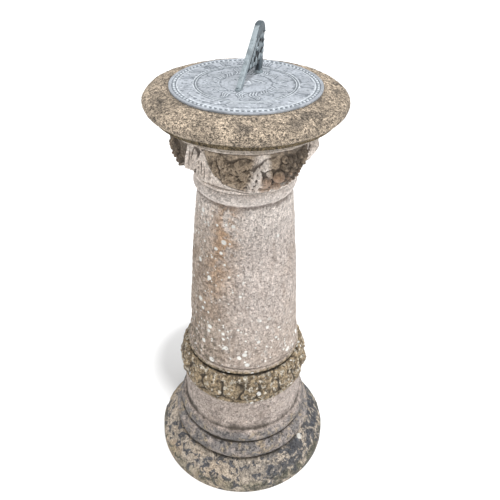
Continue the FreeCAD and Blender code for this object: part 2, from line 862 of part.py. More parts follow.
GNOMON = DIAL_FACE + " + sun_height"
TAPPED_DEPTH = "( screw_length - dial_thickness - sun_height )"


def make_gnomon_screws():
    """Two alike countersunk screws, their heads flush with the plate's underside."""
    screws = []
    for name, up in FEET:
        body = new_body(name + "_screw", DIAL, is_piece=False)
        body.setExpression("Placement.Base.y", qualified(up))
        turn(body, "screw", [
            ("0", "0", ""),
            ("screw_head_radius", "0", ""),
            ("screw_radius", "screw_head_height", ""),
            ("screw_radius", "screw_length", ""),
            ("0", "screw_length", ""),
        ])
        screws.append(body)
    pair = doc.addObject("Part::Compound", "gnomon_screws")
    pair.Links = screws
    pair.Label = "gnomon_screws"
    pieces.append(pair)


def check_document():
    """Every object recomputed cleanly, and every piece is a valid closed shape."""
    for item in doc.Objects:
        if "Invalid" in item.State or "Error" in item.State:
            raise RuntimeError(f"{item.Label} failed: {item.State}")
    for piece in pieces:
        shape = piece.Shape
        if shape.isNull() or not shape.isValid() or not shape.Solids:
            raise RuntimeError(f"{piece.Label} has no valid shape")


def write_parts():
    os.makedirs("parts", exist_ok=True)
    for piece in pieces:
        piece.Shape.exportStep(f"parts/{piece.Label}.step")
        box = piece.Shape.optimalBoundingBox()
        print(f"{piece.Label:16s} z {box.ZMin:7.2f} to {box.ZMax:7.2f}  "
              f"volume {piece.Shape.Volume / 1000:9.2f} cm3  solids {len(piece.Shape.Solids)}")


make_base_stone()
make_mortar("foot_mortar", FOOT_BED, "base_seat_radius - 2 * joint_setback")
make_dowel("foot_dowel", FOOT_BED)
make_foot_stone()
make_mortar("shaft_mortar", SHAFT_BED, "roll_radius - joint_setback")
make_dowel("shaft_dowel", SHAFT_BED)
make_shaft_stone()
make_mortar("capital_mortar", CAPITAL_BED, "astragal_radius - joint_setback")
make_dowel("capital_dowel", CAPITAL_BED)
make_capital_stone()
make_table_mortar()
make_table_stone()
make_socket()
make_dial_plate()
make_spigot()
make_washer()
make_nut()
make_gnomon()
make_gnomon_screws()
doc.recompute()
check_document()
write_parts()
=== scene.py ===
import itertools
import math

import bpy
import numpy as np
from mathutils import Matrix, Vector


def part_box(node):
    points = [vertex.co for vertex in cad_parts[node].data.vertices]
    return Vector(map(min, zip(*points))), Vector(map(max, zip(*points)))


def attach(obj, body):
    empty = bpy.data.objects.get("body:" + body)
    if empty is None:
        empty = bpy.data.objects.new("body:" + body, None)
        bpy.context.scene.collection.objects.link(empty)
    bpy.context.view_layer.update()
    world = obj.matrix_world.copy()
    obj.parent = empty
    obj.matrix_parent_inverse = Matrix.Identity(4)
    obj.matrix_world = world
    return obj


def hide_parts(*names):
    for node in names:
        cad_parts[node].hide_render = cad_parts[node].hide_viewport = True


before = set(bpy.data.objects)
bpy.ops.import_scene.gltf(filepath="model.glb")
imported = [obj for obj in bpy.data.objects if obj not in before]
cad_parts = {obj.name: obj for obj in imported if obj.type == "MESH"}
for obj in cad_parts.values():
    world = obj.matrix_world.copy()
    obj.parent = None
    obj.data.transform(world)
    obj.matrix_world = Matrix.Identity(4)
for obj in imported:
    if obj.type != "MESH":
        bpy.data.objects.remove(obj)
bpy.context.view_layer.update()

# A garden sundial on a stone pedestal. Lengths in the outlines below are millimetres,
# heights are measured up from the underside of the CAD node that the piece stands for.
# Azimuths are degrees from the front (-Y), growing towards +X.

MM = 0.001
CAMERA_AZIMUTH = 20.6


# ---------------------------------------------------------------- repeatable noise

def lattice(cells, seed):
    """A repeatable number from 0 to 1 for each whole-number point."""
    mixed = cells[0] * 374761393 + cells[1] * 668265263 + cells[2] * 974634777 + seed * 127412617
    mixed = (mixed ^ (mixed >> 13)) * 1274126177 & 0x7FFFFFFF
    return ((mixed ^ (mixed >> 16)) & 0xFFFF) / 65535.0


def soft_noise(points, seed):
    """Smooth noise from -1 to 1 with lumps one unit across."""
    cell = np.floor(points).astype(np.int64)
    part = points - cell
    part = part * part * (3 - 2 * part)
    total = 0.0
    for corner in itertools.product((0, 1), repeat=3):
        weight = 1.0
        for axis in range(3):
            weight = weight * (part[axis] if corner[axis] else 1 - part[axis])
        offset = np.array(corner).reshape((3,) + (1,) * (points.ndim - 1))
        total = total + weight * lattice(cell + offset, seed)
    return total * 2 - 1


def rough(points, size, octaves, seed):
    """Layered noise from about -1 to 1; its largest lumps are size across."""
    total = 0.0
    for octave in range(octaves):
        total = total + soft_noise(points / size * 2 ** octave + 31.7 * octave, seed + octave) / 2 ** octave
    return total / 1.5


def ramp(value, low, high):
    """0 below low, 1 above high, smooth between; low may be above high."""
    share = np.clip((value - low) / (high - low), 0, 1)
    return share * share * (3 - 2 * share)


def dome(distance):
    """The height of a round-topped bump, 1 in its middle and 0 from distance 1 outwards."""
    return np.sqrt(np.clip(1 - distance * distance, 0, 1))


# ---------------------------------------------------------------- meshes

def new_object(name, points, faces, **attributes):
    """A smooth mesh object; faces is a list of arrays of equal-sided faces."""
    mesh = bpy.data.meshes.new(name)
    mesh.vertices.add(len(points))
    mesh.vertices.foreach_set("co", np.asarray(points, np.float32).ravel())
    corners = np.concatenate([np.asarray(part).ravel() for part in faces])
    sizes = np.concatenate([np.full(len(part), np.shape(part)[1]) for part in faces])
    starts = np.concatenate([[0], np.cumsum(sizes)[:-1]])
    mesh.loops.add(len(corners))
    mesh.loops.foreach_set("vertex_index", corners.astype(np.int32))
    mesh.polygons.add(len(sizes))
    mesh.polygons.foreach_set("loop_start", starts.astype(np.int32))
    mesh.polygons.foreach_set("loop_total", sizes.astype(np.int32))
    mesh.polygons.foreach_set("use_smooth", np.ones(len(sizes), bool))
    mesh.update(calc_edges=True)
    for label, values in attributes.items():
        layer = mesh.attributes.new(label, "FLOAT", "POINT")
        layer.data.foreach_set("value", np.asarray(values, np.float32).ravel())
    mesh.validate()
    made = bpy.data.objects.new(name, mesh)
    bpy.context.scene.collection.objects.link(made)
    return made


def arc(start, end, radius, steps=28):
    """Points after start up to end on an arc that bulges right of the way (hollow if < 0)."""
    start, end = np.array(start, float), np.array(end, float)
    chord = end - start
    length = np.hypot(*chord)
    left = np.array([-chord[1], chord[0]]) / length
    rise = math.sqrt(max(radius * radius - length * length / 4, 0))
    centre = (start + end) / 2 + left * math.copysign(rise, radius)
    first = math.atan2(*(start - centre)[::-1])
    last = math.atan2(*(end - centre)[::-1])
    sweep = (last - first + math.pi) % (2 * math.pi) - math.pi
    angles = first + sweep * np.arange(1, steps + 1) / steps
    return [centre + abs(radius) * np.array([math.cos(a), math.sin(a)]) for a in angles]


def worn_line(corners, spacing, rounding):
    """An outline from corners (across, up) or (across, up, curve), its edges worn round.
    spacing is the distance between rows, or a distance for each (low, high) stretch of up."""
    line = [np.array(corners[0][:2], float)]
    for here, there in zip(corners, corners[1:]):
        if len(here) > 2:
            line += arc(here[:2], there[:2], here[2])
        else:
            line.append(np.array(there[:2], float))
    line = np.array(line)
    length = np.concatenate([[0], np.cumsum(np.hypot(*np.diff(line, axis=0).T))])
    fine = np.arange(0, length[-1], 0.25)
    dense = np.stack([np.interp(fine, length, line[:, k]) for k in (0, 1)], 1)
    reach = int(rounding * 3 / 0.25)
    kernel = np.exp(-0.5 * (np.arange(-reach, reach + 1) * 0.25 / rounding) ** 2)
    kernel /= kernel.sum()
    padded = np.concatenate([
        2 * dense[0] - dense[reach:0:-1], dense, 2 * dense[-1] - dense[-2:-reach - 2:-1]])
    smooth = np.stack([np.convolve(padded[:, k], kernel, "valid") for k in (0, 1)], 1)
    if not isinstance(spacing, dict):
        spacing = {(-math.inf, math.inf): spacing}
    rows = np.zeros(len(smooth))
    for (low, high), step in spacing.items():
        rows[(smooth[:, 1] >= low) & (smooth[:, 1] < high)] = 0.25 / step
    rows = np.cumsum(rows)
    wanted = np.linspace(rows[0], rows[-1], int(rows[-1]))
    return np.stack([np.interp(wanted, rows, smooth[:, k]) for k in (0, 1)], 1)


class Turned:
    """A turned stone: exact hidden rows, then worn rows that relief moves along the surface."""

    def __init__(self, node, under, shown, over, columns, spacing, rounding=1.2):
        low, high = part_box(node)
        self.node = node
        self.floor = low.z / MM
        self.height = (high.z - low.z) / MM
        middle = worn_line(shown, spacing, rounding)
        ends = [np.array(part, float).reshape(-1, 2) for part in (under, over)]
        rows = np.concatenate([ends[0], middle, ends[1]])
        self.across, self.up = rows[:, :1], rows[:, 1:]
        self.worn = np.zeros((len(rows), 1))
        self.worn[len(under):len(under) + len(middle)] = 1
        slope = np.gradient(rows, axis=0)
        slope /= np.maximum(np.hypot(*slope.T), 1e-9)[:, None]
        self.out_across, self.out_up = slope[:, 1:], -slope[:, :1]
        self.azimuth = np.linspace(-180, 180, columns, endpoint=False)[None, :] + 0 * self.across
        self.columns = columns

    def points(self, push=0.0, lift=0.0):
        """The grid's points in millimetres, moved out along the surface by push."""
        across = self.across + self.out_across * push
        up = self.up + self.out_up * push + lift
        turn = np.radians(self.azimuth)
        return np.stack([across * np.sin(turn), -across * np.cos(turn), up + 0 * turn])

    def hollow(self, push, reach=5):
        """How far below its surroundings each worn point lies, in millimetres."""
        shown = np.flatnonzero(self.worn[:, 0])
        points = self.points(push)[:, shown[0]:shown[-1] + 1]
        margin = 3 * reach
        blurred = np.pad(points, ((0, 0), (margin, margin), (0, 0)), "reflect", reflect_type="odd")
        for _ in range(3):
            for axis in (1, 2):
                total = sum(np.roll(blurred, k, axis) for k in range(-reach, reach + 1))
                blurred = total / (2 * reach + 1)
        gap = blurred[:, margin:-margin] - points
        turn = np.radians(self.azimuth[shown])
        outward = gap[0] * np.sin(turn) - gap[1] * np.cos(turn)
        depth = np.zeros(push.shape)
        depth[shown] = outward * self.out_across[shown] + gap[2] * self.out_up[shown]
        return depth

    def build(self, name, push, radius_limit=None, **attributes):
        points = self.points(push * self.worn)
        if radius_limit:
            size = np.hypot(points[0], points[1])
            points[:2] *= np.minimum(1, radius_limit / np.maximum(size, 1e-9))
        points[2] = np.clip(points[2], 0, self.height) + self.floor
        rows, columns = points.shape[1:]
        grid = np.arange(rows * columns).reshape(rows, columns)
        right = np.roll(grid, -1, 1)
        quads = np.stack([grid[:-1], right[:-1], right[1:], grid[1:]], -1).reshape(-1, 4)
        ends = np.array([[0, 0, points[2, 0, 0]], [0, 0, points[2, -1, 0]]])
        flat = np.concatenate([points.reshape(3, -1).T, ends]) * MM
        first, last = rows * columns, rows * columns + 1
        bottom = np.stack([np.full(columns, first), right[0], grid[0]], -1)
        top = np.stack([grid[-1], right[-1], np.full(columns, last)], -1)
        layers = {k: np.concatenate([(v + 0 * push).ravel(), [0, 0]]) for k, v in attributes.items()}
        return new_object(name, flat, [quads, bottom, top], **layers)


def settle(piece, body, slot, material, *nodes):
    """The piece rides on a body, takes the given material and hides the CAD nodes it stands for; slot is not
    used.
    """
    piece.data.materials.clear()
    piece.data.materials.append(material)
    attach(piece, body)
    if nodes:
        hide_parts(*nodes)
    return piece


# ---------------------------------------------------------------- materials

class Paint:
    """A node material, written as short calls that each return an output socket."""

    def __init__(self, name, roughness=0.9):
        self.material = bpy.data.materials.new(name)
        self.material.use_nodes = True
        self.tree = self.material.node_tree
        self.shader = self.tree.nodes["Principled BSDF"]
        self.shader.inputs["Roughness"].default_value = roughness
        self.place = self.node("ShaderNodeTexCoord").outputs["Object"]

    def node(self, kind, inputs=(), **settings):
        made = self.tree.nodes.new(kind)
        for key, value in settings.items():
            setattr(made, key, value)
        for key, value in dict(inputs).items():
            if isinstance(value, bpy.types.NodeSocket):
                self.tree.links.new(value, made.inputs[key])
            else:
                made.inputs[key].default_value = value
        return made

    def math(self, operation, first, second=0.0, clamp=False):
        made = self.node("ShaderNodeMath", {0: first, 1: second}, operation=operation)
        made.use_clamp = clamp
        return made.outputs[0]

    def stretched(self, x=1.0, y=1.0, z=1.0, place=None):
        made = self.node("ShaderNodeMapping", {"Vector": place or self.place, "Scale": (x, y, z)})
        return made.outputs[0]

    def noise(self, size, detail=3.0, place=None, twist=0.0, roughness=0.55):
        """Noise about 0.5 whose lumps are size metres across."""
        made = self.node("ShaderNodeTexNoise", {
            "Vector": place or self.place, "Scale": 1 / size, "Detail": detail,
            "Roughness": roughness, "Distortion": twist})
        return made.outputs["Fac"]

    def step(self, value, low, high):
        """0 where the value is below low, 1 above high, smooth between."""
        made = self.node("ShaderNodeMapRange", {
            "Value": value, "From Min": low, "From Max": high}, interpolation_type="SMOOTHSTEP")
        return made.outputs[0]

    def spots(self, spacing, largest, place=None, ragged=0.25, share=1.0):
        """Round spots, each of its own size, up to largest across."""
        where = place or self.place
        wobble = self.node("ShaderNodeTexNoise", {"Vector": where, "Scale": 2.5 / largest})
        shift = self.node("ShaderNodeVectorMath", {
            0: wobble.outputs["Color"], 1: (0.5, 0.5, 0.5)}, operation="SUBTRACT").outputs[0]
        shift = self.node("ShaderNodeVectorMath", {0: shift, "Scale": ragged * largest},
                          operation="SCALE").outputs[0]
        moved = self.node("ShaderNodeVectorMath", {0: where, 1: shift}, operation="ADD").outputs[0]
        cells = self.node("ShaderNodeTexVoronoi", {"Vector": moved, "Scale": 1 / spacing})
        size = self.node("ShaderNodeSeparateColor", {"Color": cells.outputs["Color"]}).outputs[0]
        radius = self.step(size, 1 - share, 1.15)
        radius = self.math("MULTIPLY", radius, largest / 2 / spacing)
        inside = self.math("SUBTRACT", radius, cells.outputs["Distance"])
        return self.step(inside, 0.0, 0.12 * largest / spacing)

    def near(self, centre, radius, softness=0.25):
        """1 within radius of a point, all in metres."""
        gap = self.node("ShaderNodeVectorMath", {0: self.place, 1: tuple(centre)},
                        operation="DISTANCE").outputs["Value"]
        return self.step(gap, radius * (1 + softness), radius * (1 - softness))

    def attribute(self, name):
        return self.node("ShaderNodeAttribute", attribute_name=name).outputs["Fac"]

    def either(self, *masks):
        total = masks[0]
        for mask in masks[1:]:
            total = self.math("MAXIMUM", total, mask)
        return total

    def both(self, *masks):
        total = masks[0]
        for mask in masks[1:]:
            total = self.math("MULTIPLY", total, mask)
        return total

    def mix(self, below, above, share, blend="MIX"):
        """Two colours (sockets or linear RGB) mixed by a share."""
        made = self.node("ShaderNodeMix", data_type="RGBA", blend_type=blend)
        for socket, value in ((made.inputs["Factor"], share), (made.inputs["A"], below),
                              (made.inputs["B"], above)):
            if isinstance(value, bpy.types.NodeSocket):
                self.tree.links.new(value, socket)
            elif isinstance(value, tuple):
                socket.default_value = (*value, 1.0)
            else:
                socket.default_value = value
        return made.outputs["Result"]

    def finish(self, colour, height=None, depth=0.001, roughness=None):
        """Connects the colour, a bump height of depth metres and a varying roughness."""
        self.tree.links.new(colour, self.shader.inputs["Base Color"])
        if height is not None:
            bump = self.node("ShaderNodeBump", {"Height": height, "Strength": 1.0, "Distance": depth})
            self.tree.links.new(bump.outputs["Normal"], self.shader.inputs["Normal"])
        if roughness is not None:
            self.tree.links.new(roughness, self.shader.inputs["Roughness"])
        return self.material


def stone_paint(name, light, dark, speck, crack_and_shade, grain=0.0030, contrast=2.0, stains=(), growths=(),
                pitted=0.5, cracked=0.4):
    """Weathered cast stone: mottled, grainy, darker in its hollows, partly dirt and partly painted shade.
    stains lie under
    the grain and growths on top of it: each is a function of the Paint that returns (mask, colour)."""
    paint = Paint(name)
    mottle = paint.step(paint.noise(0.04, 5), 0.38, 0.62)
    colour = paint.mix(light, dark, mottle)
    cloud = paint.step(paint.noise(0.16, 2), 0.35, 0.7)
    colour = paint.mix(colour, dark, paint.math("MULTIPLY", cloud, 0.35))
    for add in stains:
        mask, tint = add(paint)
        colour = paint.mix(colour, tint, mask)
    fine = paint.noise(grain, 2, roughness=0.75)
    coarse = paint.noise(grain * 2.7, 3, roughness=0.7)
    both = paint.math("ADD", paint.math("MULTIPLY", coarse, 0.45), paint.math("MULTIPLY", fine, 0.55))
    sand = paint.node("ShaderNodeMapRange", {
        "Value": both, "From Min": 0.36, "From Max": 0.64,
        "To Min": 1 - 0.36 * contrast, "To Max": 1 + 0.30 * contrast}, clamp=False).outputs[0]
    sand = paint.math("MAXIMUM", sand, 0.12)
    sand_colour = paint.node("ShaderNodeCombineColor", {0: sand, 1: sand, 2: sand}).outputs[0]
    colour = paint.mix(colour, sand_colour, 1.0, "MULTIPLY")
    pits = paint.either(paint.spots(grain * 2.4, grain * 1.7, share=pitted),
                        paint.spots(grain * 5.2, grain * 2.6, share=0.35 * pitted))
    colour = paint.mix(colour, speck, paint.math("MULTIPLY", pits, 0.85))
    wander = paint.math("SUBTRACT", paint.noise(grain * 4.5, 3, twist=1.2), 0.5)
    cracks = paint.step(paint.math("ABSOLUTE", wander), 0.028, 0.0)
    colour = paint.mix(colour, crack_and_shade, paint.math("MULTIPLY", cracks, cracked))
    # Painted shade, with some dirt: the crack_and_shade colour where a point lies below its surroundings.
    hollow = paint.step(paint.attribute("hollow"), 0.25, 2.2)
    colour = paint.mix(colour, crack_and_shade, paint.math("MULTIPLY", hollow, 0.85))
    for add in growths:
        mask, tint = add(paint)
        colour = paint.mix(colour, tint, mask)
    sunk = paint.math("ADD", paint.math("MULTIPLY", pits, 0.4), paint.math("MULTIPLY", cracks, 0.3))
    height = paint.math("SUBTRACT", both, sunk)
    return paint.finish(colour, height, 0.0035)


def white_lichen(density, largest=0.011, spacing=1.8, colour=(0.80, 0.79, 0.75)):
    """Round pale lichen up to largest across, denser where an attribute or a patch says so."""
    def add(paint):
        patch = paint.step(paint.noise(0.06, 3), 0.32, 0.54)
        amount = paint.both(patch, paint.attribute(density))
        mask = paint.step(amount, 0.04, 0.22)
        spots = paint.spots(largest * spacing, largest, ragged=0.18, share=0.75)
        return paint.both(spots, mask), colour
    return add


def single_spots(places, colour=(0.82, 0.81, 0.77)):
    """Pale lichen discs at chosen (azimuth, radius, height, size), in degrees and mm."""
    def add(paint):
        masks = []
        for azimuth, radius, height, size in places:
            turn = math.radians(azimuth)
            centre = Vector((radius * math.sin(turn), -radius * math.cos(turn), height)) * MM
            masks.append(paint.near(centre, size * MM / 2))
        ragged = paint.step(paint.noise(0.004, 3), 0.3, 0.45)
        return paint.both(paint.either(*masks), ragged), colour
    return add


def patches(size, low, high, colour, detail=4, strength=1.0, place=None, attribute=None, twist=0.0):
    """Blotches of a colour where noise of a size passes from low to high."""
    def add(paint):
        where = place(paint) if place else None
        mask = paint.step(paint.noise(size, detail, where, twist), low, high)
        mask = paint.math("MULTIPLY", mask, strength)
        if attribute:
            mask = paint.both(mask, paint.attribute(attribute))
        return mask, colour
    return add


def metal_paint(name, base, highlight_and_wear, dark, roughness=0.5):
    """Cast metal with a matt patina: lighter where the raised attribute paints highlight and rubbed wear,
    darker where the hollow attribute paints patina and painted shade.
    """
    paint = Paint(name, roughness)
    paint.shader.inputs["Metallic"].default_value = 0.2
    cloud = paint.step(paint.noise(0.03, 4), 0.35, 0.65)
    colour = paint.mix(base, tuple(0.8 * part for part in base), cloud)
    # Painted highlight, partly rubbed wear: the highlight_and_wear colour on raised parts.
    raised = paint.step(paint.attribute("raised"), 0.15, 0.9)
    colour = paint.mix(colour, highlight_and_wear, paint.math("MULTIPLY", raised, 0.75))
    # Patina in hollows, plus painted shade wherever the hollow attribute carries it.
    hollow = paint.step(paint.attribute("hollow"), 0.04, 0.35)
    colour = paint.mix(colour, dark, paint.math("MULTIPLY", hollow, 0.8))
    tarnish = paint.either(paint.step(paint.noise(0.006, 4, roughness=0.7), 0.50, 0.66),
                           paint.step(paint.noise(0.018, 5, twist=0.8), 0.54, 0.66))
    colour = paint.mix(colour, dark, paint.math("MULTIPLY", tarnish, 0.44))
    height = paint.noise(0.0016, 4, roughness=0.7)
    glint = paint.node("ShaderNodeMapRange", {
        "Value": paint.noise(0.008, 3), "To Min": roughness - 0.1, "To Max": roughness + 0.18})
    return paint.finish(colour, height, 0.00025, glint.outputs[0])


def plain_stone(name, light, dark):
    """Mortar and other rough filling."""
    paint = Paint(name, 0.95)
    colour = paint.mix(dark, light, paint.noise(0.006, 5))
    return paint.finish(colour, paint.noise(0.003, 5), 0.0012)


def turned_metal(name, base, roughness):
    """Turned or drawn metal, with fine marks round its axis."""
    paint = Paint(name, roughness)
    paint.shader.inputs["Metallic"].default_value = 1.0
    marks = paint.noise(0.0012, 2, paint.stretched(0.12, 0.12, 1.0))
    colour = paint.mix(base, tuple(0.6 * part for part in base), marks)
    return paint.finish(colour, marks, 0.0001)


# ---------------------------------------------------------------- stones

SWAG_TURN = 37.6
SWAG_REACH = 54
SHORT_REACH = 42
LONG_REACH = 60
WREATH = (166, 239)
WREATH_LOBES = 20

SAND = (0.50, 0.41, 0.31)
GREY = (0.30, 0.28, 0.26)


def edge_fade(stone, reach=3.0):
    """Holds the first and last worn rows still, where they meet the exact ones."""
    shown = np.flatnonzero(stone.worn[:, 0])
    number = np.arange(len(stone.worn))[:, None]
    inside = np.minimum(number - shown[0], shown[-1] - number)
    return np.clip(inside / reach, 0, 1)


def make_base():
    stone = Turned("base_stone", [], [(195, 0), (195, 16, 7), (189.4, 23, 130), (150, 60)],
                   [(12, 60), (12, 18)], 800, 1.3, 3.0)
    place = stone.points()
    push = 1.3 * rough(place, 45, 3, 3) + 0.8 * rough(place, 7, 3, 9)
    chips = ramp(rough(place, 24, 2, 15), 0.35, 0.75) * ramp(stone.across, 184, 192)
    push = (push - 2.2 * chips) * edge_fade(stone, 6)
    piece = stone.build("plinth", push, 194.9, hollow=stone.hollow(push),
                        rim=ramp(stone.across, 181, 192) + 0 * push,
                        # contact: painted shade on the base top where the foot stands on it.
                        contact=ramp(stone.across, 158, 146) + 0 * push,
                        left=ramp(np.cos(np.radians(stone.azimuth + 50)), 0.2, 0.95),
                        right=ramp(np.cos(np.radians(stone.azimuth - 100)), 0.1, 0.8))
    paint = stone_paint(
        "plinth stone", (0.46, 0.39, 0.315), (0.31, 0.27, 0.225), (0.05, 0.047, 0.045),
        (0.05, 0.038, 0.03), 0.0028, 2.1, [
            patches(0.05, 0.40, 0.65, (0.44, 0.33, 0.22), 3, 0.6, None, "left"),
            patches(0.016, 0.515, 0.575, (0.050, 0.056, 0.070), 6, 0.88, None, None, 0.7),
            patches(0.020, 0.43, 0.52, (0.050, 0.055, 0.066), 6, 0.9, None, "right", 0.7),
            patches(0.02, 0.35, 0.6, (0.15, 0.135, 0.07), 4, 0.45, None, "rim"),
            # Painted shade round the foot, on the base top.
            patches(0.02, 0.2, 0.5, (0.075, 0.062, 0.045), 3, 0.9, None, "contact")
        ], [single_spots([(78, 158, 55, 13), (-31, 180, 27, 6), (96, 170, 35, 6)], (0.62, 0.61, 0.57))])
    return settle(piece, "pedestal", "plinth_stone", paint, "base_stone")


def wreath_relief(azimuth, up, place):
    """Broad veined leaves that touch, round and uneven below, on a band sunk into the profile."""
    low, high = WREATH
    count = azimuth / 360 * WREATH_LOBES + 0.24 * soft_noise(place / 26, 5)
    lobe = np.floor(count)
    across = (count - lobe - 0.5) * 2
    odd = lattice(np.stack([lobe.astype(np.int64)] * 3), 8)
    length = (up - low - 7 * odd) / (high - low)
    width = 1.03 * np.sqrt(np.clip(1 - np.clip(1 - length / 0.42, 0, 2) ** 2, 0, 1))
    inside = np.clip(1 - np.abs(across) / np.maximum(width, 1e-3), 0, 1)
    blade = inside ** 0.42 * ramp(length, -0.02, 0.2) * ramp(up, high - 1, high - 7)
    leaf = (9.5 + 2.5 * odd) * blade * (1 - 0.3 * np.abs(length - 0.4))
    leaf -= 3.0 * np.exp(-((np.abs(across) - 1) / 0.12) ** 2) * blade
    leaf -= 1.6 * np.exp(-(across / 0.11) ** 2) * blade
    leaf -= 1.2 * np.exp(-((np.abs(across) - 0.22 - 0.42 * length) / 0.09) ** 2) * blade
    veins = np.sin(2 * np.pi * (length * 5 - np.abs(across) * 1.3))
    leaf += 0.9 * veins * blade * ramp(np.abs(across), 0.05, 0.3)
    fruit = np.maximum(0, 1 - ((np.abs(across) - 1) ** 2 / 0.1 + (length - 0.78) ** 2 / 0.012))
    leaf = np.maximum(leaf, 9 * np.sqrt(fruit))
    sunk = 8.5 * ramp(up, low, low + 14) * (1 - 0.6 * ramp(up, 215, high)) * ramp(up, high + 1, high - 1)
    return leaf + 2.2 * rough(place, 9, 3, 6) * np.minimum(1, blade * 2) - sunk


def make_foot():
    stone = Turned(
        "foot_stone", [(12, 42), (12, 0), (140, 0)], [
            (146, 0, 22), (137, 41), (137, 45, 17), (135, 75), (132, 78, -560), (134, 169),
            (136, 169, 62), (119, 237), (117.5, 237, 7), (117.5, 249)],
        [(12, 249), (12, 207)], 640, {(-9, 160): 3.1, (160, 260): 1.35}, 1.0)
    place = stone.points()
    relief = wreath_relief(stone.azimuth, stone.up, place)
    groove = np.exp(-((stone.up - WREATH[1] + 1) / 1.6) ** 2)
    push = 1.5 * rough(place, 38, 3, 21) + 0.45 * rough(place, 6, 2, 24) + relief - 2.5 * groove
    push = push * edge_fade(stone, 4)
    low, high = WREATH
    in_wreath = ramp(stone.up, low - 2, low + 4) * ramp(stone.up, high + 12, high + 4)
    side = np.radians(stone.azimuth - CAMERA_AZIMUTH)
    # The groove under the wreath's top is also painted darker, as shade, through hollow.
    piece = stone.build(
        "foot", push, None, hollow=stone.hollow(push) - 0.45 * stone.hollow(0 * push) + 1.5 * groove,
        wreath=in_wreath + 0 * push,
        rings=ramp(stone.up, 76, 70) + 0 * push,
        drips=ramp(stone.up, low - 16, low - 4) * ramp(stone.up, low + 6, low) + 0 * push,
        crown=ramp(stone.up, high - 14, high) + 0 * push,
        # pale: paler all round, more so on the right where the light falls: partly the stone's tone, partly
        # painted light.
        pale=0.3 + 0.3 * ramp(np.sin(side), -0.1, 0.9) + 0 * stone.across)
    paint = stone_paint(
        "foot stone", (0.47, 0.39, 0.335), (0.33, 0.265, 0.22), (0.10, 0.085, 0.075),
        (0.04, 0.031, 0.022), 0.0026, 1.9, [
            # Pale patches: partly tone, partly painted light on the right side.
            patches(0.05, 0.2, 0.5, (0.56, 0.495, 0.465), 3, 0.8, None, "pale"),
            patches(0.03, 0.30, 0.55, (0.165, 0.158, 0.158), 4, 0.85, None, "rings"),
            patches(0.014, 0.50, 0.66, (0.34, 0.27, 0.18), 4, 0.75, None, "rings"),
            patches(0.010, 0.55, 0.65, (0.06, 0.058, 0.06), 4, 0.75, None, "rings"),
            patches(0.02, 0.1, 0.4, (0.335, 0.255, 0.155), 4, 0.95, None, "wreath"),
            patches(0.009, 0.48, 0.60, (0.07, 0.05, 0.032), 5, 0.8, None, "wreath", 0.6),
            patches(0.010, 0.53, 0.62, (0.64, 0.585, 0.49), 5, 0.85, None, "wreath"),
            patches(0.006, 0.54, 0.64, (0.05, 0.036, 0.022), 5, 0.7, None, "wreath")
        ], [white_lichen("drips", 0.011, 1.5), white_lichen("wreath", 0.016, 1.7),
            white_lichen("crown", 0.010, 1.5)])
    return settle(piece, "pedestal", "column_stone", paint, "foot_stone")


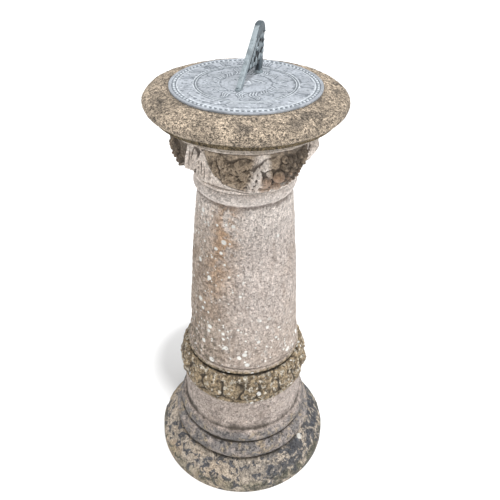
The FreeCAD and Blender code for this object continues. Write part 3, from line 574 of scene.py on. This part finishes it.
def make_shaft():
    stone = Turned(
        "shaft_stone", [(12, 42), (12, 0), (112, 0)], [
            (117, 0), (116, 22), (112.5, 30, 4200), (87, 369), (87.5, 369, 13.5), (87.5, 392)],
        [(12, 392), (12, 350)], 640, 2.8, 2.0)
    place = stone.points()
    push = 1.3 * rough(place, 50, 3, 31) + 0.9 * rough(place, 7, 3, 33)
    push = push * edge_fade(stone, 4)
    side = stone.azimuth - CAMERA_AZIMUTH
    streak = np.exp(-((side + 22 + 13 * ramp(stone.up, 330, 130)) / 15) ** 2)
    piece = stone.build(
        "shaft", push, None, hollow=stone.hollow(push) - 0.2 * stone.hollow(0 * push),
        stain=streak * ramp(stone.up, 60, 300) * ramp(stone.up, 372, 366),
        lichen=np.clip(0.10 + 0.8 * ramp(np.sin(np.radians(side)), 0.2, -0.9)
                       + 0.7 * ramp(stone.up, 130, 10), 0, 1) * ramp(stone.up, 375, 340),
        # pale: paler on the right where the light falls, less so low down: partly tone, partly painted
        # light.
        pale=ramp(np.sin(np.radians(side)), -0.75, 0.1) * (1 - 0.5 * ramp(stone.up, 170, 20)),
        # neck: paler towards the top under the capital, painted light that offsets the shade there.
        neck=ramp(stone.up, 240, 380) + 0 * push,
        ring=ramp(stone.up, 366, 371) + 0 * push,
        moss=ramp(stone.up, 170, 30) * ramp(np.sin(np.radians(side)), -0.1, -0.8),
        weather=(0.35 + 0.65 * ramp(np.sin(np.radians(side)), 0.3, -0.8)) * ramp(stone.up, 330, 180))
    paint = stone_paint(
        "column stone", (0.53, 0.435, 0.36), (0.38, 0.295, 0.23), (0.14, 0.11, 0.085),
        (0.12, 0.088, 0.07), 0.0022, 1.9, [
            # Pale patches: partly tone, partly painted light on the right side.
            patches(0.06, 0.1, 0.45, (0.57, 0.50, 0.46), 3, 0.9, None, "pale"),
            # Painted light: paler patches towards the top of the shaft.
            patches(0.05, 0.1, 0.4, (0.76, 0.69, 0.64), 3, 0.8, None, "neck"),
            patches(0.018, 0.50, 0.68, (0.34, 0.265, 0.215), 5, 0.35, lambda p: p.stretched(z=0.3)),
            patches(0.014, 0.55, 0.70, (0.74, 0.69, 0.65), 5, 0.35, lambda p: p.stretched(z=0.4)),
            patches(0.035, 0.36, 0.58, (0.50, 0.33, 0.21), 6, 1.0, None, "stain", 1.2),
            patches(0.008, 0.50, 0.62, (0.15, 0.11, 0.08), 5, 0.6, None, "weather"),
            patches(0.009, 0.48, 0.58, (0.11, 0.092, 0.06), 5, 0.8, None, "moss"),
        ], [patches(0.02, 0.25, 0.6, (0.72, 0.65, 0.60), 4, 0.5, None, "ring"),
            white_lichen("lichen", 0.0125, 1.3), white_lichen("lichen", 0.0066, 1.35),
            single_spots([(-2, 95, 609, 10), (-35, 98, 549, 11), (-32, 104, 459, 12), (-17, 108, 405, 11),
                          (57, 97, 555, 8), (-5, 96, 585, 7), (60, 93, 615, 7), (38, 106, 435, 7),
                          (2, 111, 363, 10), (22, 112, 351, 10), (-13, 117, 322, 12), (73, 115, 328, 12)])
            ], 0.5, 0.3)
    return settle(piece, "pedestal", "column_stone", paint, "shaft_stone")


def tilted(along, up, at, tilt, half_length, half_width):
    """Coordinates along and across a shape, from -1 to 1 inside it."""
    turn = math.radians(tilt)
    x, y = along - at[0], up - at[1]
    return ((x * math.cos(turn) + y * math.sin(turn)) / half_length,
            (y * math.cos(turn) - x * math.sin(turn)) / half_width)


def fruit(along, up, at, tilt, half_length, half_width, height):
    u, v = tilted(along, up, at, tilt, half_length, half_width)
    return height * dome(np.hypot(u, v))


def leaf(along, up, at, tilt, half_length, half_width, height):
    """A pointed leaf with a sunk midrib and slanting veins."""
    u, v = tilted(along, up, at, tilt, half_length, half_width)
    edge = np.clip(1 - np.abs(u) ** 1.7, 0, 1)
    inside = np.clip(1 - np.abs(v) / np.maximum(edge, 1e-3), 0, 1)
    blade = height * inside ** 0.4
    ribs = 0.42 * np.exp(-(v / 0.12) ** 2) - 0.22 * np.sin(2 * np.pi * (2.6 * u - 1.1 * np.abs(v)))
    return blade * (1 - ribs)


def swag_bow(turn, reach):
    """The height of a garland's lower cord, which ends higher up on both sides."""
    return 3 + 85 * np.minimum(np.abs(turn / reach), 1) ** 3.7


def swag_relief(along, up, turn, reach, place):
    """One garland: two cords that hang in a bow, and a thick bunch of leaves and fruit above."""
    bow = swag_bow(turn, reach)
    slope = 85 * 3.7 * np.abs(turn / reach) ** 2.7 / (2 * reach)
    above = (up - bow) / np.sqrt(1 + slope * slope)
    body = np.interp(up, (0, 3, 12, 30, 50, 70, 88, 97), (0, 2, 12, 20, 22, 19, 9, 1))
    body = body * np.sqrt(1 - (1 - np.clip(above / 15, 0, 1)) ** 2) * ramp(above, -1.5, 1.5)
    cords = np.maximum(2.6 * dome((above - 2) / 3.2), 3.0 * dome((above - 8.5) / 2.8))
    inside = ramp(above, 10, 14) * ramp(up, 95, 90)
    shapes = [
        leaf(along, up, (-20, 46), 80, 30, 13, 9), leaf(along, up, (-48, 72), 160, 18, 9, 6),
        leaf(along, up, (-52, 52), -38, 19, 9, 7), leaf(along, up, (-66, 76), 120, 17, 8, 6),
        leaf(along, up, (-78, 66), 100, 15, 7, 6), leaf(along, up, (-64, 46), 60, 14, 7, 5),
        leaf(along, up, (-38, 42), 50, 16, 8, 6), leaf(along, up, (-32, 62), 20, 15, 9, 7),
        leaf(along, up, (-66, 60), 100, 14, 7, 5), leaf(along, up, (-26, 26), 30, 14, 7, 6),
        leaf(along, up, (-36, 80), 0, 16, 7, 7), leaf(along, up, (36, 26), 20, 16, 6, 5),
        leaf(along, up, (62, 78), 70, 15, 8, 7), leaf(along, up, (0, 78), 20, 16, 7, 6),
        fruit(along, up, (-33, 58), 0, 5, 5, 9), fruit(along, up, (-5, 44), 25, 13, 10, 10),
        fruit(along, up, (-3, 24), 8, 15, 6.5, 8), fruit(along, up, (17, 54), 0, 11, 10, 11),
        fruit(along, up, (14, 33), 0, 10, 9, 10), fruit(along, up, (2, 62), 0, 5, 5, 8)]
    for row, column in itertools.product(range(6), range(7)):
        across = 30 + 9 * column + 4 * (row % 2) - 1.5 * row + 1.5 * math.sin(7 * row + column)
        height = 38 + 8.5 * row + 1.5 * math.cos(5 * column + row)
        rise = 5.5 + 1.5 * math.sin(3 * column + 2 * row)
        shapes.append(fruit(along, up, (across, height), 0, 4.8, 4.8, rise))
    carved = np.maximum.reduce([shape * inside for shape in shapes])
    carved = 1.4 * carved + inside * (2.0 * rough(place, 9, 3, 44) - 3.0 * (carved < 1.5))
    carved = carved * ramp(above, 10, 17)
    # Painted shade: dark lines along and between the cords, added to the hollow attribute.
    cord_shade_lines = sum(np.exp(-((above - at) / 1.3) ** 2) for at in (-1.6, 5.3, 11.8)) * ramp(up, 92, 84)
    return body, np.maximum(cords * ramp(up, 96, 88), carved), inside, cord_shade_lines


def cloth_relief(along, up):
    """A smooth cloth that hangs between two garlands, gathered into slanting folds."""
    folds = 0.0
    for number, spread in enumerate((-26, -13, 0, 13)):
        foot, head = -14 + 0.75 * spread, 14 + 0.25 * spread
        line = foot + (head - foot) * (up - 10) / 62
        ridge = (8.5 - 0.7 * number) * np.exp(-((along - line) / 3.4) ** 2) * ramp(up, 3, 14)
        folds = np.maximum(folds, ridge)
    folds = folds * ramp(up, 84, 66)
    pouch = 17 * dome(np.hypot((along + 22) / 25, (up - 70) / 34)) ** 1.3
    return pouch + folds + 3 * ramp(up, 30, 80)


def make_capital():
    stone = Turned(
        "capital_stone", [(12, 42), (12, 0), (88, 0)], [
            (93, 0), (93, 5), (90, 5, -170), (119, 92), (130, 94), (130, 99), (124, 100),
            (124, 108)], [], 660, 1.02, 0.8)
    place = stone.points()
    turn = (stone.azimuth - SWAG_TURN + 60) % 120 - 60
    front = np.abs(stone.azimuth - SWAG_TURN) < 60
    reach = np.where(turn < 0, SWAG_REACH, np.where(front, SHORT_REACH, LONG_REACH))
    body, carving, inside, cord_shade_lines = swag_relief(turn * 2.0, stone.up, turn, reach, place)
    hang = (stone.azimuth - SWAG_TURN) % 120 - 60
    below = swag_bow(turn, reach) - stone.up
    cloth = cloth_relief(hang * 2.0, stone.up) * ramp(below, -4, 5) * ramp(stone.up, 95, 86)
    on_bell = ramp(stone.up, 97, 92) * ramp(stone.up, 5, 8)
    push = (np.maximum(body, cloth * 0.8) + np.maximum(carving, 0.4 * cloth * ramp(below, 0, 6))) * on_bell
    push = push + 0.7 * rough(place, 30, 3, 41) + 0.5 * rough(place, 5, 2, 43)
    push = push * edge_fade(stone, 4)
    piece = stone.build(
        # hollow: painted shade in the hollows and along the cords.
        "capital", push, 139, hollow=stone.hollow(push, 3) + 1.9 * cord_shade_lines,
        growth=inside * np.maximum(ramp(turn + 0.11 * (90 - stone.up), -7, -13),
                                   ramp(turn, -2, 3) * ramp(stone.up, 48, 62)),
        ripe=inside * ramp(turn, -8, -3) * ramp(carving, 4, 6) * ramp(stone.up, 66, 58),
        # dark: the fruit's own darker tone, and painted shade between the fruit where the carving is low.
        dark=inside * ramp(turn, 8, 14) * ramp(stone.up, 22, 34) * (0.6 + 0.4 * ramp(carving, 9, 5)),
        # top: painted shade on the top of the bell, under the table.
        top=ramp(stone.up, 84, 97) + 0 * push)
    paint = stone_paint(
        "carved stone", (0.83, 0.755, 0.69), (0.73, 0.64, 0.57), (0.24, 0.19, 0.15),
        (0.07, 0.052, 0.038), 0.0024, 1.3, [
            patches(0.014, 0.54, 0.70, (0.46, 0.37, 0.30), 5, 0.45),
            patches(0.015, 0.1, 0.4, (0.39, 0.295, 0.20), 4, 0.9, None, "growth"),
            patches(0.008, 0.5, 0.60, (0.10, 0.075, 0.05), 5, 0.75, None, "growth"),
            patches(0.02, 0.2, 0.5, (0.37, 0.245, 0.165), 3, 0.85, None, "ripe"),
            patches(0.010, 0.2, 0.5, (0.10, 0.078, 0.058), 4, 0.9, None, "dark"),
            # Painted shade under the table.
            patches(0.02, 0.2, 0.5, (0.37, 0.31, 0.25), 4, 0.75, None, "top")
        ], (), 0.35, 0.25)
    return settle(piece, "pedestal", "carved_stone", paint, "capital_stone")


def make_table():
    stone = Turned(
        "table_stone", [], [(156, 0), (156, 9), (163, 9, 17), (172, 23, 16), (162, 36, 172), (130, 43)],
        [(26, 43), (26, 30.5), (14, 30.5), (14, 7)], 800, 1.1, 1.6)
    place = stone.points()
    push = 1.2 * rough(place, 40, 3, 51) + 0.8 * rough(place, 5, 3, 54)
    push = push * edge_fade(stone, 8)
    piece = stone.build(
        "table", push, None, hollow=stone.hollow(push, 3),
        fillet=ramp(stone.up, 14, 9) + 0 * push,
        upper=ramp(stone.up, 29, 36) + 0 * push,
        # around: painted shadow of the dial plate's edge on the table top.
        around=ramp(stone.across, 131.5, 128) * ramp(stone.up, 41, 42.5) + 0 * push)
    paint = stone_paint(
        "table stone", (0.53, 0.43, 0.325), (0.35, 0.285, 0.215), (0.055, 0.046, 0.038),
        (0.05, 0.042, 0.032), 0.0020, 3.4, [
            patches(0.045, 0.50, 0.66, (0.12, 0.10, 0.08), 5, 0.75, None, "upper"),
            patches(0.040, 0.58, 0.72, (0.16, 0.13, 0.10), 5, 0.45),
            patches(0.006, 0.56, 0.68, (0.10, 0.08, 0.062), 5, 0.6),
            patches(0.02, 0.1, 0.4, (0.13, 0.095, 0.045), 4, 0.9, None, "fillet"),
            # Painted shadow round the dial plate.
            patches(0.02, 0.0, 0.1, (0.05, 0.044, 0.036), 4, 0.8, None, "around")
        ], (), 0.75)
    return settle(piece, "pedestal", "table_stone", paint, "table_stone")


# ---------------------------------------------------------------- dial

DIAL_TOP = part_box("dial_plate")[0].z / MM + 7.6
HOURS = ("VI", "VII", "VIII", "IX", "X", "XI", "XII", "I", "II", "III", "IIII", "V", "VI")
DIAL_LATITUDE = 51.5
HOUR_CENTRE = -12
BEADS = 88
RAYS = 16


def joined(name, parts, **attributes):
    """One object from several (points, faces) parts, with constant attributes."""
    points, faces, start = [], [], 0
    for part_points, part_faces in parts:
        points.append(np.asarray(part_points, float))
        faces += [np.asarray(group) + start for group in part_faces]
        start += len(part_points)
    points = np.concatenate(points) * MM
    made = new_object(name, points, faces, **{k: np.full(len(points), v) for k, v in attributes.items()})
    made.data.set_sharp_from_angle(angle=math.radians(42))
    return made


def hour_direction(hour):
    """The direction of the line of an hour after noon, in radians from north towards +X."""
    angle = math.radians(hour * 15)
    return math.atan2(math.sin(math.radians(DIAL_LATITUDE)) * math.sin(angle), math.cos(angle))


def on_hour_line(line, radius):
    """Where the line from the hour centre meets a circle about the dial's centre."""
    direction = np.array([math.sin(line), math.cos(line)])
    start = np.array([0, HOUR_CENTRE])
    along = -start @ direction + math.sqrt((start @ direction) ** 2 - start @ start + radius ** 2)
    return start + along * direction


def bar(start, end, width, low, high, inset=0.35):
    """A raised stroke between two points on the dial, narrower on top."""
    start, end = np.array(start), np.array(end)
    ahead = (end - start) / np.hypot(*(end - start))
    side = np.array([-ahead[1], ahead[0]])
    foot = [start - side * width / 2, end - side * width / 2, end + side * width / 2,
            start + side * width / 2]
    crown = [point + (centre - point) * inset for point, centre in zip(foot, (start, end, end, start))]
    points = [(*point, low) for point in foot] + [(*point, high) for point in crown]
    sides = [(k, (k + 1) % 4, 4 + (k + 1) % 4, 4 + k) for k in range(4)]
    return points, [[(4, 5, 6, 7), *sides]]


def numeral_strokes(text, line, size=17.0):
    """The strokes (start, end, width) of Roman letters with their feet towards the middle."""
    widths = {"I": 4.4, "V": 9.0, "X": 9.0}
    foot = on_hour_line(line, 91.5)
    outward = foot / np.hypot(*foot)
    right = np.array([outward[1], -outward[0]])
    across = -sum(widths[letter] for letter in text) / 2
    strokes = []
    for letter in text:
        left, end = across + 0.8, across + widths[letter] - 0.8
        middle = (left + end) / 2
        drawn = {"I": [(middle, middle, 2.2)],
                 "V": [(middle, left, 2.4), (middle, end, 1.4)],
                 "X": [(end, left, 2.4), (left, end, 1.4)]}[letter]
        for low, high, width in drawn:
            strokes.append((foot + right * low, foot + right * high + outward * size, width))
        across += widths[letter]
    return strokes


def sunburst(azimuth, radius):
    """Flames round the sun, long and short in turn, each of several wavy strands."""
    sector = azimuth / 360 * RAYS
    number = np.floor(sector)
    across = (sector - number - 0.5) * 2
    long_ray = number % 2
    reach = np.clip((radius - 43) / (27 + 8 * long_ray), 0, 1)
    across = across - 0.25 * np.sin(2 * np.pi * (1.3 * reach + 0.25)) * (1 - 0.4 * reach)
    width = 0.9 * (1 - reach) ** 0.7
    flame = ramp(width - np.abs(across), 0, 0.12) * ramp(radius, 43, 45) * (reach < 1)
    strands = 0.5 + 0.5 * np.cos(2 * np.pi * 1.5 * across / np.maximum(width, 0.15))
    return flame * (0.1 + 0.75 * strands)


def label_shape(azimuth, radius):
    """Two plain labels with pointed ends, side by side opposite noon."""
    south = np.abs(azimuth)
    centred = np.abs(south - 23) + 3.2 * np.abs(radius - 98) / 6
    return ramp(centred, 21.2, 20.4) * band(radius, 92, 104, 0.4)


def bead(number):
    """A half ball on the border."""
    turn = 2 * math.pi * number / BEADS
    centre = 118.6 * np.array([math.sin(turn), math.cos(turn)])
    rings, sides = 4, 12
    points = []
    for ring in range(rings):
        tilt = math.pi / 2 * ring / rings
        for k in range(sides):
            around = 2 * math.pi * k / sides
            points.append((centre[0] + 2.35 * math.cos(tilt) * math.cos(around),
                           centre[1] + 2.35 * math.cos(tilt) * math.sin(around),
                           DIAL_TOP - 0.35 + 1.9 * math.sin(tilt)))
    points.append((*centre, DIAL_TOP + 1.55))
    quads = [(ring * sides + k, ring * sides + (k + 1) % sides, (ring + 1) * sides + (k + 1) % sides,
              (ring + 1) * sides + k) for ring in range(rings - 1) for k in range(sides)]
    last = (rings - 1) * sides
    return points, [quads, [(last + k, last + (k + 1) % sides, rings * sides) for k in range(sides)]]


def band(radius, inner, outer, soft=0.5):
    return ramp(radius, inner - soft, inner + soft) * ramp(radius, outer + soft, outer - soft)


def sun_face(x, y, radius):
    """A worn, generic sun: a low round face with brows, eyes, nose and mouth."""
    face = 1.2 * dome(radius / 41.5) ** 0.8
    for side in (-1, 1):
        u, v = tilted(x, y, (14 * side, 8), 8 * side, 8, 3.4)
        face = face + 0.55 * dome(np.hypot(u, v)) - 0.55 * np.exp(-((np.hypot(u, v) - 1.15) / 0.22) ** 2)
        u, v = tilted(x, y, (14 * side, 16), -10 * side, 11, 2.2)
        face = face + 0.75 * dome(np.hypot(u, v))
        u, v = tilted(x, y, (19 * side, -10), 20 * side, 9, 7)
        face = face + 0.45 * dome(np.hypot(u, v))
    u, v = tilted(x, y, (0, 0), 90, 13, 3.8 + 1.6 * ramp(y, 2, -11))
    face = face + 1.1 * dome(np.hypot(u, v))
    for height, half, gain in ((-17, 9, 0.55), (-21.5, 7, 0.5)):
        u, v = tilted(x, y - 0.02 * x * x, (0, height), 0, half, 2.0)
        face = face + gain * dome(np.hypot(u, v))
    face = face - 0.7 * np.exp(-((y + 19 - 0.03 * x * x) / 0.9) ** 2) * ramp(np.abs(x), 11, 8)
    return face


def make_dial():
    plate = Turned("dial_plate", [(5, 6), (5, 0), (16, 0), (16, 5), (126.4, 5)],
                   [(127, 5), (127, 8.5), (122.5, 8.5), (121.9, 7.6), (5, 7.6)], [], 640, 0.86, 0.3)
    place = plate.points()
    x, y, _ = place
    radius = np.hypot(x, y)
    push = 0.5 * band(radius, 87, 114.5) + 0.9 * band(radius, 82, 83.4) + 0.9 * band(radius, 86, 87.4)
    push = push - 0.3 * band(radius, 114.8, 122) + sun_face(x, y, radius) * ramp(radius, 41.6, 41)
    push = push + 0.25 * band(radius, 41.5, 43, 0.4) + sunburst(plate.azimuth, radius)
    push = push + 0.4 * label_shape(plate.azimuth, radius)
    strokes = [stroke for number, text in enumerate(HOURS)
               for stroke in numeral_strokes(text, hour_direction(number - 6))]
    # Painted shade beside the numerals' strokes.
    shade = 0 * push
    for start, end, width in strokes:
        ahead = end - start
        along = np.clip(((x - start[0]) * ahead[0] + (y - start[1]) * ahead[1]) / (ahead @ ahead), 0, 1)
        gap = np.hypot(x - start[0] - along * ahead[0], y - start[1] - along * ahead[1]) - width / 2
        shade = np.maximum(shade, ramp(gap, 1.8, 0.5))
    push = (push + 0.42 * rough(place, 6, 3, 61)) * ramp(plate.up, 7.3, 7.6) * edge_fade(plate, 2)
    hollow = plate.hollow(push, 2)
    # Painted shade between the beads and on the rim's side.
    bead_gap_and_rim_shade = band(radius, 115.5, 121.7) + 0.7 * ramp(radius, 122.8, 123.6)
    # hollow: patina in hollows and painted shade; raised: painted highlight on raised relief, partly rubbed
    # wear.
    piece = plate.build("dial", push, 127, hollow=2.6 * np.maximum(hollow, 0) + 0.8 * shade + 0.2 * bead_gap_and_rim_shade,
                        raised=ramp(-hollow, 0.02, 0.26) * (1 - 0.8 * ramp(radius, 120, 121.5)
                                                            - 0.35 * band(radius, 43, 80)))
    paint = metal_paint("dial metal", (0.475, 0.51, 0.56), (0.72, 0.77, 0.81), (0.12, 0.14, 0.16), 0.55)
    settle(piece, "dial", "dial_metal", paint, "dial_plate")
    numerals = [bar(*stroke, DIAL_TOP + 0.3, DIAL_TOP + 1.35) for stroke in strokes]
    beads = [bead(number) for number in range(BEADS)]
    # The numerals and beads get a constant painted highlight through raised.
    settle(joined("dial_numerals", numerals, raised=0.3, hollow=0.0), "dial", "dial_metal", paint)
    settle(joined("dial_beads", beads, raised=0.7, hollow=0.0), "dial", "dial_metal", paint)


# ---------------------------------------------------------------- gnomon

GNOMON_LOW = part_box("gnomon")[0].z / MM
STYLE_SLOPE = math.tan(math.radians(43))
TOE, HEEL = -39, 59


def on_style(up):
    """How far north the style's upper edge is at a height."""
    return up / STYLE_SLOPE + TOE


def smooth_loop(corners, steps=6):
    """A closed curve through the corners."""
    corners = np.array(corners, float)
    before, after, far = (np.roll(corners, k, 0) for k in (1, -1, -2))
    shares = np.arange(steps) / steps
    loop = []
    for a, b, c, d in zip(before, corners, after, far):
        for t in shares:
            loop.append(0.5 * (2 * b + (c - a) * t + (2 * a - 5 * b + 4 * c - d) * t ** 2
                               + (3 * b - a - 3 * c + d) * t ** 3))
    return loop


def oval(north, up, half_length, half_width, tilt, count=14):
    """A pointed opening."""
    turn = math.radians(tilt)
    loop = []
    for k in range(count):
        angle = 2 * math.pi * k / count
        along = half_length * math.cos(angle)
        across = half_width * math.sin(angle) * (1 - 0.35 * math.cos(angle))
        loop.append((north + along * math.cos(turn) - across * math.sin(turn),
                     up + along * math.sin(turn) + across * math.cos(turn)))
    return loop


def casting(outline, holes, thickness, edge):
    """A plate in the plane x = 0 with rounded edges, as points and faces."""
    curve = bpy.data.curves.new("casting", "CURVE")
    curve.dimensions = "2D"
    curve.fill_mode = "BOTH"
    curve.extrude = thickness / 2 - edge
    curve.bevel_depth = edge
    curve.bevel_resolution = 2
    curve.offset = -edge
    for loop in (outline, *holes):
        spline = curve.splines.new("POLY")
        spline.points.add(len(loop) - 1)
        for point, (north, up) in zip(spline.points, loop):
            point.co = (north, up, 0, 1)
        spline.use_cyclic_u = True
    holder = bpy.data.objects.new("casting", curve)
    bpy.context.scene.collection.objects.link(holder)
    shape = bpy.data.meshes.new_from_object(holder.evaluated_get(bpy.context.evaluated_depsgraph_get()))
    bpy.data.objects.remove(holder)
    points = [(v.co.z, v.co.x, GNOMON_LOW + max(v.co.y, 0)) for v in shape.vertices]
    faces = {}
    for face in shape.polygons:
        faces.setdefault(len(face.vertices), []).append(tuple(face.vertices))
    return points, list(faces.values())


def petal(side, north, up, half_length, half_width, tilt, surface, rise):
    """A low leaf on one side of the web, with a crease along its middle."""
    turn = math.radians(tilt)
    rings, sides = 5, 14
    points = []
    for ring in range(rings + 1):
        share = math.cos(math.pi / 2 * ring / rings)
        for k in range(sides):
            angle = 2 * math.pi * k / sides
            along = half_length * share * math.cos(angle)
            across = half_width * share * math.sin(angle) * (1 - 0.4 * math.cos(angle))
            crease = 0.35 * rise * math.exp(-(across / (0.28 * half_width)) ** 2)
            height = rise * math.sin(math.pi / 2 * ring / rings) - crease
            points.append((side * (surface - 0.3 + height),
                           north + along * math.cos(turn) - across * math.sin(turn),
                           GNOMON_LOW + up + along * math.sin(turn) + across * math.cos(turn)))
    quads = [(ring * sides + k, ring * sides + (k + 1) % sides, (ring + 1) * sides + (k + 1) % sides,
              (ring + 1) * sides + k) for ring in range(rings) for k in range(sides)]
    if side < 0:
        quads = [quad[::-1] for quad in quads]
    return points, [quads]


def foot_dome(north, radius, height):
    """The rounded pad under the post."""
    rings, sides = 6, 24
    points = [(radius * math.cos(math.pi / 2 * ring / rings) * math.cos(2 * math.pi * k / sides),
               north + radius * math.cos(math.pi / 2 * ring / rings) * math.sin(2 * math.pi * k / sides),
               GNOMON_LOW + height * math.sin(math.pi / 2 * ring / rings))
              for ring in range(rings + 1) for k in range(sides)]
    quads = [(ring * sides + k, ring * sides + (k + 1) % sides, (ring + 1) * sides + (k + 1) % sides,
              (ring + 1) * sides + k) for ring in range(rings) for k in range(sides)]
    return points, [quads]


PETALS = (
    (12, 24, 6, 3, 35), (20, 31, 7, 3.2, 52), (29, 40, 7.5, 3.4, 60), (37, 50, 7.5, 3.4, 55),
    (26, 23, 7, 3, 10), (38, 25, 8, 3.6, 75), (46, 58, 7, 3.2, 70), (53, 44, 9, 3.6, 80),
    (53, 29, 7, 3, 60), (62, 27, 6, 3, 100), (62, 62, 8, 3.4, 35), (70, 58, 6, 3, 95),
    (71, 44, 5.5, 3, 60), (70, 34, 5.5, 3, 50), (67, 25, 5, 2.8, 60), (60, 46, 6, 2.6, 95),
    (44, 44, 5, 2.6, 40), (54, 70, 9, 3.6, 70))
OPENINGS = (
    (15, 30, 4.6, 2.0, 42), (25, 37.5, 4.4, 2.4, 48), (34, 47, 4.2, 2.3, 45), (42, 56, 3.6, 2.0, 50),
    (18, 22.5, 4.0, 1.8, 5), (31.5, 29, 5.2, 2.9, 68), (40, 39, 5.4, 2.4, 60), (47.5, 35, 9.5, 2.5, 86),
    (57, 54, 6.2, 2.6, 62), (66.5, 50, 5.0, 2.2, 84), (58.5, 34, 6.0, 2.2, 78), (45, 22.5, 4.2, 1.8, 0),
    (66, 38, 3.8, 1.7, 60))


def make_gnomon(paint):
    """One casting: the sloping style, a pierced web of leaves, a solid nose and the post."""
    tip = [(on_style(80), 80), (52.5, 83.2), (60, 84.0), (69, 82), (76, 75), (78.6, 66)]
    rear = [(78.6, 59), (76.6, 54.5), (79.4, 50), (76.4, 45.5), (78.8, 40.5), (74.8, 36.5),
            (76.4, 31.5), (72, 27.5), (71.4, 21), (68.2, 12), (65.8, 0.2)]
    under = [(52.6, 0.2), (53.4, 10), (50.5, 16.5), (43, 18), (36, 16.6), (29, 18.6), (21, 16.6),
             (12, 18.4), (2, 16.8), (-10, 15.8), (-18, 9.5), (-28, 0.2)]
    ridge = [(TOE + 8, 0.3)] + [(on_style(up) + 4, up) for up in (18, 40, 60, 76)]
    web = casting(smooth_loop([*ridge, (58, 81), (67, 79), (74.5, 73), (77, 66), *rear, *under]),
                  [oval(*opening) for opening in OPENINGS], 5.6, 0.9)
    nose = casting(smooth_loop([(on_style(63) + 4, 63), *tip, (78.4, 62), (67, 66.5), (55, 64)]),
                   [], 9.4, 2.4)
    post = casting(smooth_loop([(52.8, 0.2), (53.6, 9), (54.6, 18), (58, 25), (66, 26), (69, 20),
                                (67.2, 11), (65.6, 0.2)]), [], 9.6, 2.2)
    low, high = 8 / math.sin(math.atan(STYLE_SLOPE)), 79.5
    bar_line = [(TOE, 0), (TOE + low, 0), (on_style(72) + low - 1.5, 72), (on_style(high) + 4.5, high + 1.5),
                (on_style(high), high)]
    style = casting(bar_line, [], 8.6, 0.9)
    leaves = [petal(side, *shape, 2.8, 2.2) for side in (-1, 1) for shape in PETALS]
    leaves += [foot_dome(HEEL, 8.2, 8.5), foot_dome(TOE + 1.5, 5.0, 5.0), foot_dome(TOE + 6.5, 6.0, 2.6)]
    # Painted light and shade on whole parts: the style and the leaves get a painted highlight through
    # raised, the web painted shade through hollow.
    settle(joined("gnomon", [style], raised=0.75, hollow=0.0), "dial", "gnomon_metal", paint, "gnomon")
    settle(joined("gnomon_web", [web], raised=0.0, hollow=0.5), "dial", "gnomon_metal", paint)
    settle(joined("gnomon_nose", [nose, post], raised=0.2, hollow=0.0), "dial", "gnomon_metal", paint)
    settle(joined("gnomon_leaves", leaves, raised=0.6, hollow=0.0), "dial", "gnomon_metal", paint)


# ---------------------------------------------------------------- fixings, floor, light, camera

def paint_fixings(gnomon_metal):
    """Finishes for the CAD pieces that are shown as they are."""
    mortar = plain_stone("lime mortar", (0.47, 0.43, 0.37), (0.30, 0.27, 0.23))
    steel = turned_metal("dowel steel", (0.56, 0.57, 0.58), 0.35)
    brass = turned_metal("brass", (0.58, 0.44, 0.20), 0.32)
    for name, paint in (
            ("foot_mortar", mortar), ("shaft_mortar", mortar), ("capital_mortar", mortar),
            ("table_mortar", mortar), ("socket_grout", mortar), ("foot_dowel", steel),
            ("shaft_dowel", steel), ("capital_dowel", steel), ("socket_bush", brass),
            ("dial_spigot", brass), ("spigot_washer", brass), ("spigot_nut", brass),
            ("gnomon_screws", gnomon_metal)):
        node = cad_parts[name]
        node.data.materials.clear()
        node.data.materials.append(paint)


def make_stage():
    bpy.ops.mesh.primitive_plane_add(size=60)
    floor = bpy.context.object
    floor.name = "floor"
    paint = Paint("floor", 0.9)
    paint.shader.inputs["Specular IOR Level"].default_value = 0.0
    floor.data.materials.append(paint.finish(paint.mix((0.91, 0.91, 0.91), (0.93, 0.93, 0.93),
                                                       paint.noise(0.5))))
    world = bpy.data.worlds.new("studio")
    bpy.context.scene.world = world
    world.use_nodes = True
    background = world.node_tree.nodes["Background"]
    background.inputs["Color"].default_value = (1, 1, 1, 1)
    background.inputs["Strength"].default_value = 0.76
    for name, strength, softness, towards in (
            ("key", 2.1, 5, (155, -178, 840)), ("side", 1.1, 80, (1.0, 0.1, 0.55))):
        light = bpy.data.lights.new(name, "SUN")
        light.energy = strength
        light.angle = math.radians(softness)
        lamp = bpy.data.objects.new(name, light)
        bpy.context.scene.collection.objects.link(lamp)
        lamp.rotation_euler = Vector(towards).to_track_quat("Z", "Y").to_euler()
    bpy.context.scene.view_settings.view_transform = "Standard"


def make_camera():
    turned = Matrix.Rotation(math.radians(CAMERA_AZIMUTH), 3, "Z")
    yaw, pitch, roll = 0.012, 0.625, 0.018
    ahead = turned @ Vector((math.sin(yaw) * math.cos(pitch), math.cos(yaw) * math.cos(pitch),
                             -math.sin(pitch)))
    right = turned @ Vector((math.cos(yaw), -math.sin(yaw), 0))
    above = right.cross(ahead)
    right, above = (math.cos(roll) * right + math.sin(roll) * above,
                    math.cos(roll) * above - math.sin(roll) * right)
    data = bpy.data.cameras.new("camera")
    data.lens = 41.47
    data.sensor_width = 36
    camera = bpy.data.objects.new("camera", data)
    bpy.context.scene.collection.objects.link(camera)
    camera.matrix_world = Matrix.Translation(Vector((325.8, -866.8, 1198)) * MM) @ Matrix(
        (right, above, -ahead)).transposed().to_4x4()
    bpy.context.scene.camera = camera


make_base()
make_foot()
make_shaft()
make_capital()
make_table()
make_dial()
gnomon_metal = metal_paint(
    "gnomon metal", (0.085, 0.112, 0.13), (0.41, 0.47, 0.50), (0.022, 0.027, 0.032), 0.5)
make_gnomon(gnomon_metal)
paint_fixings(gnomon_metal)
make_stage()
make_camera()
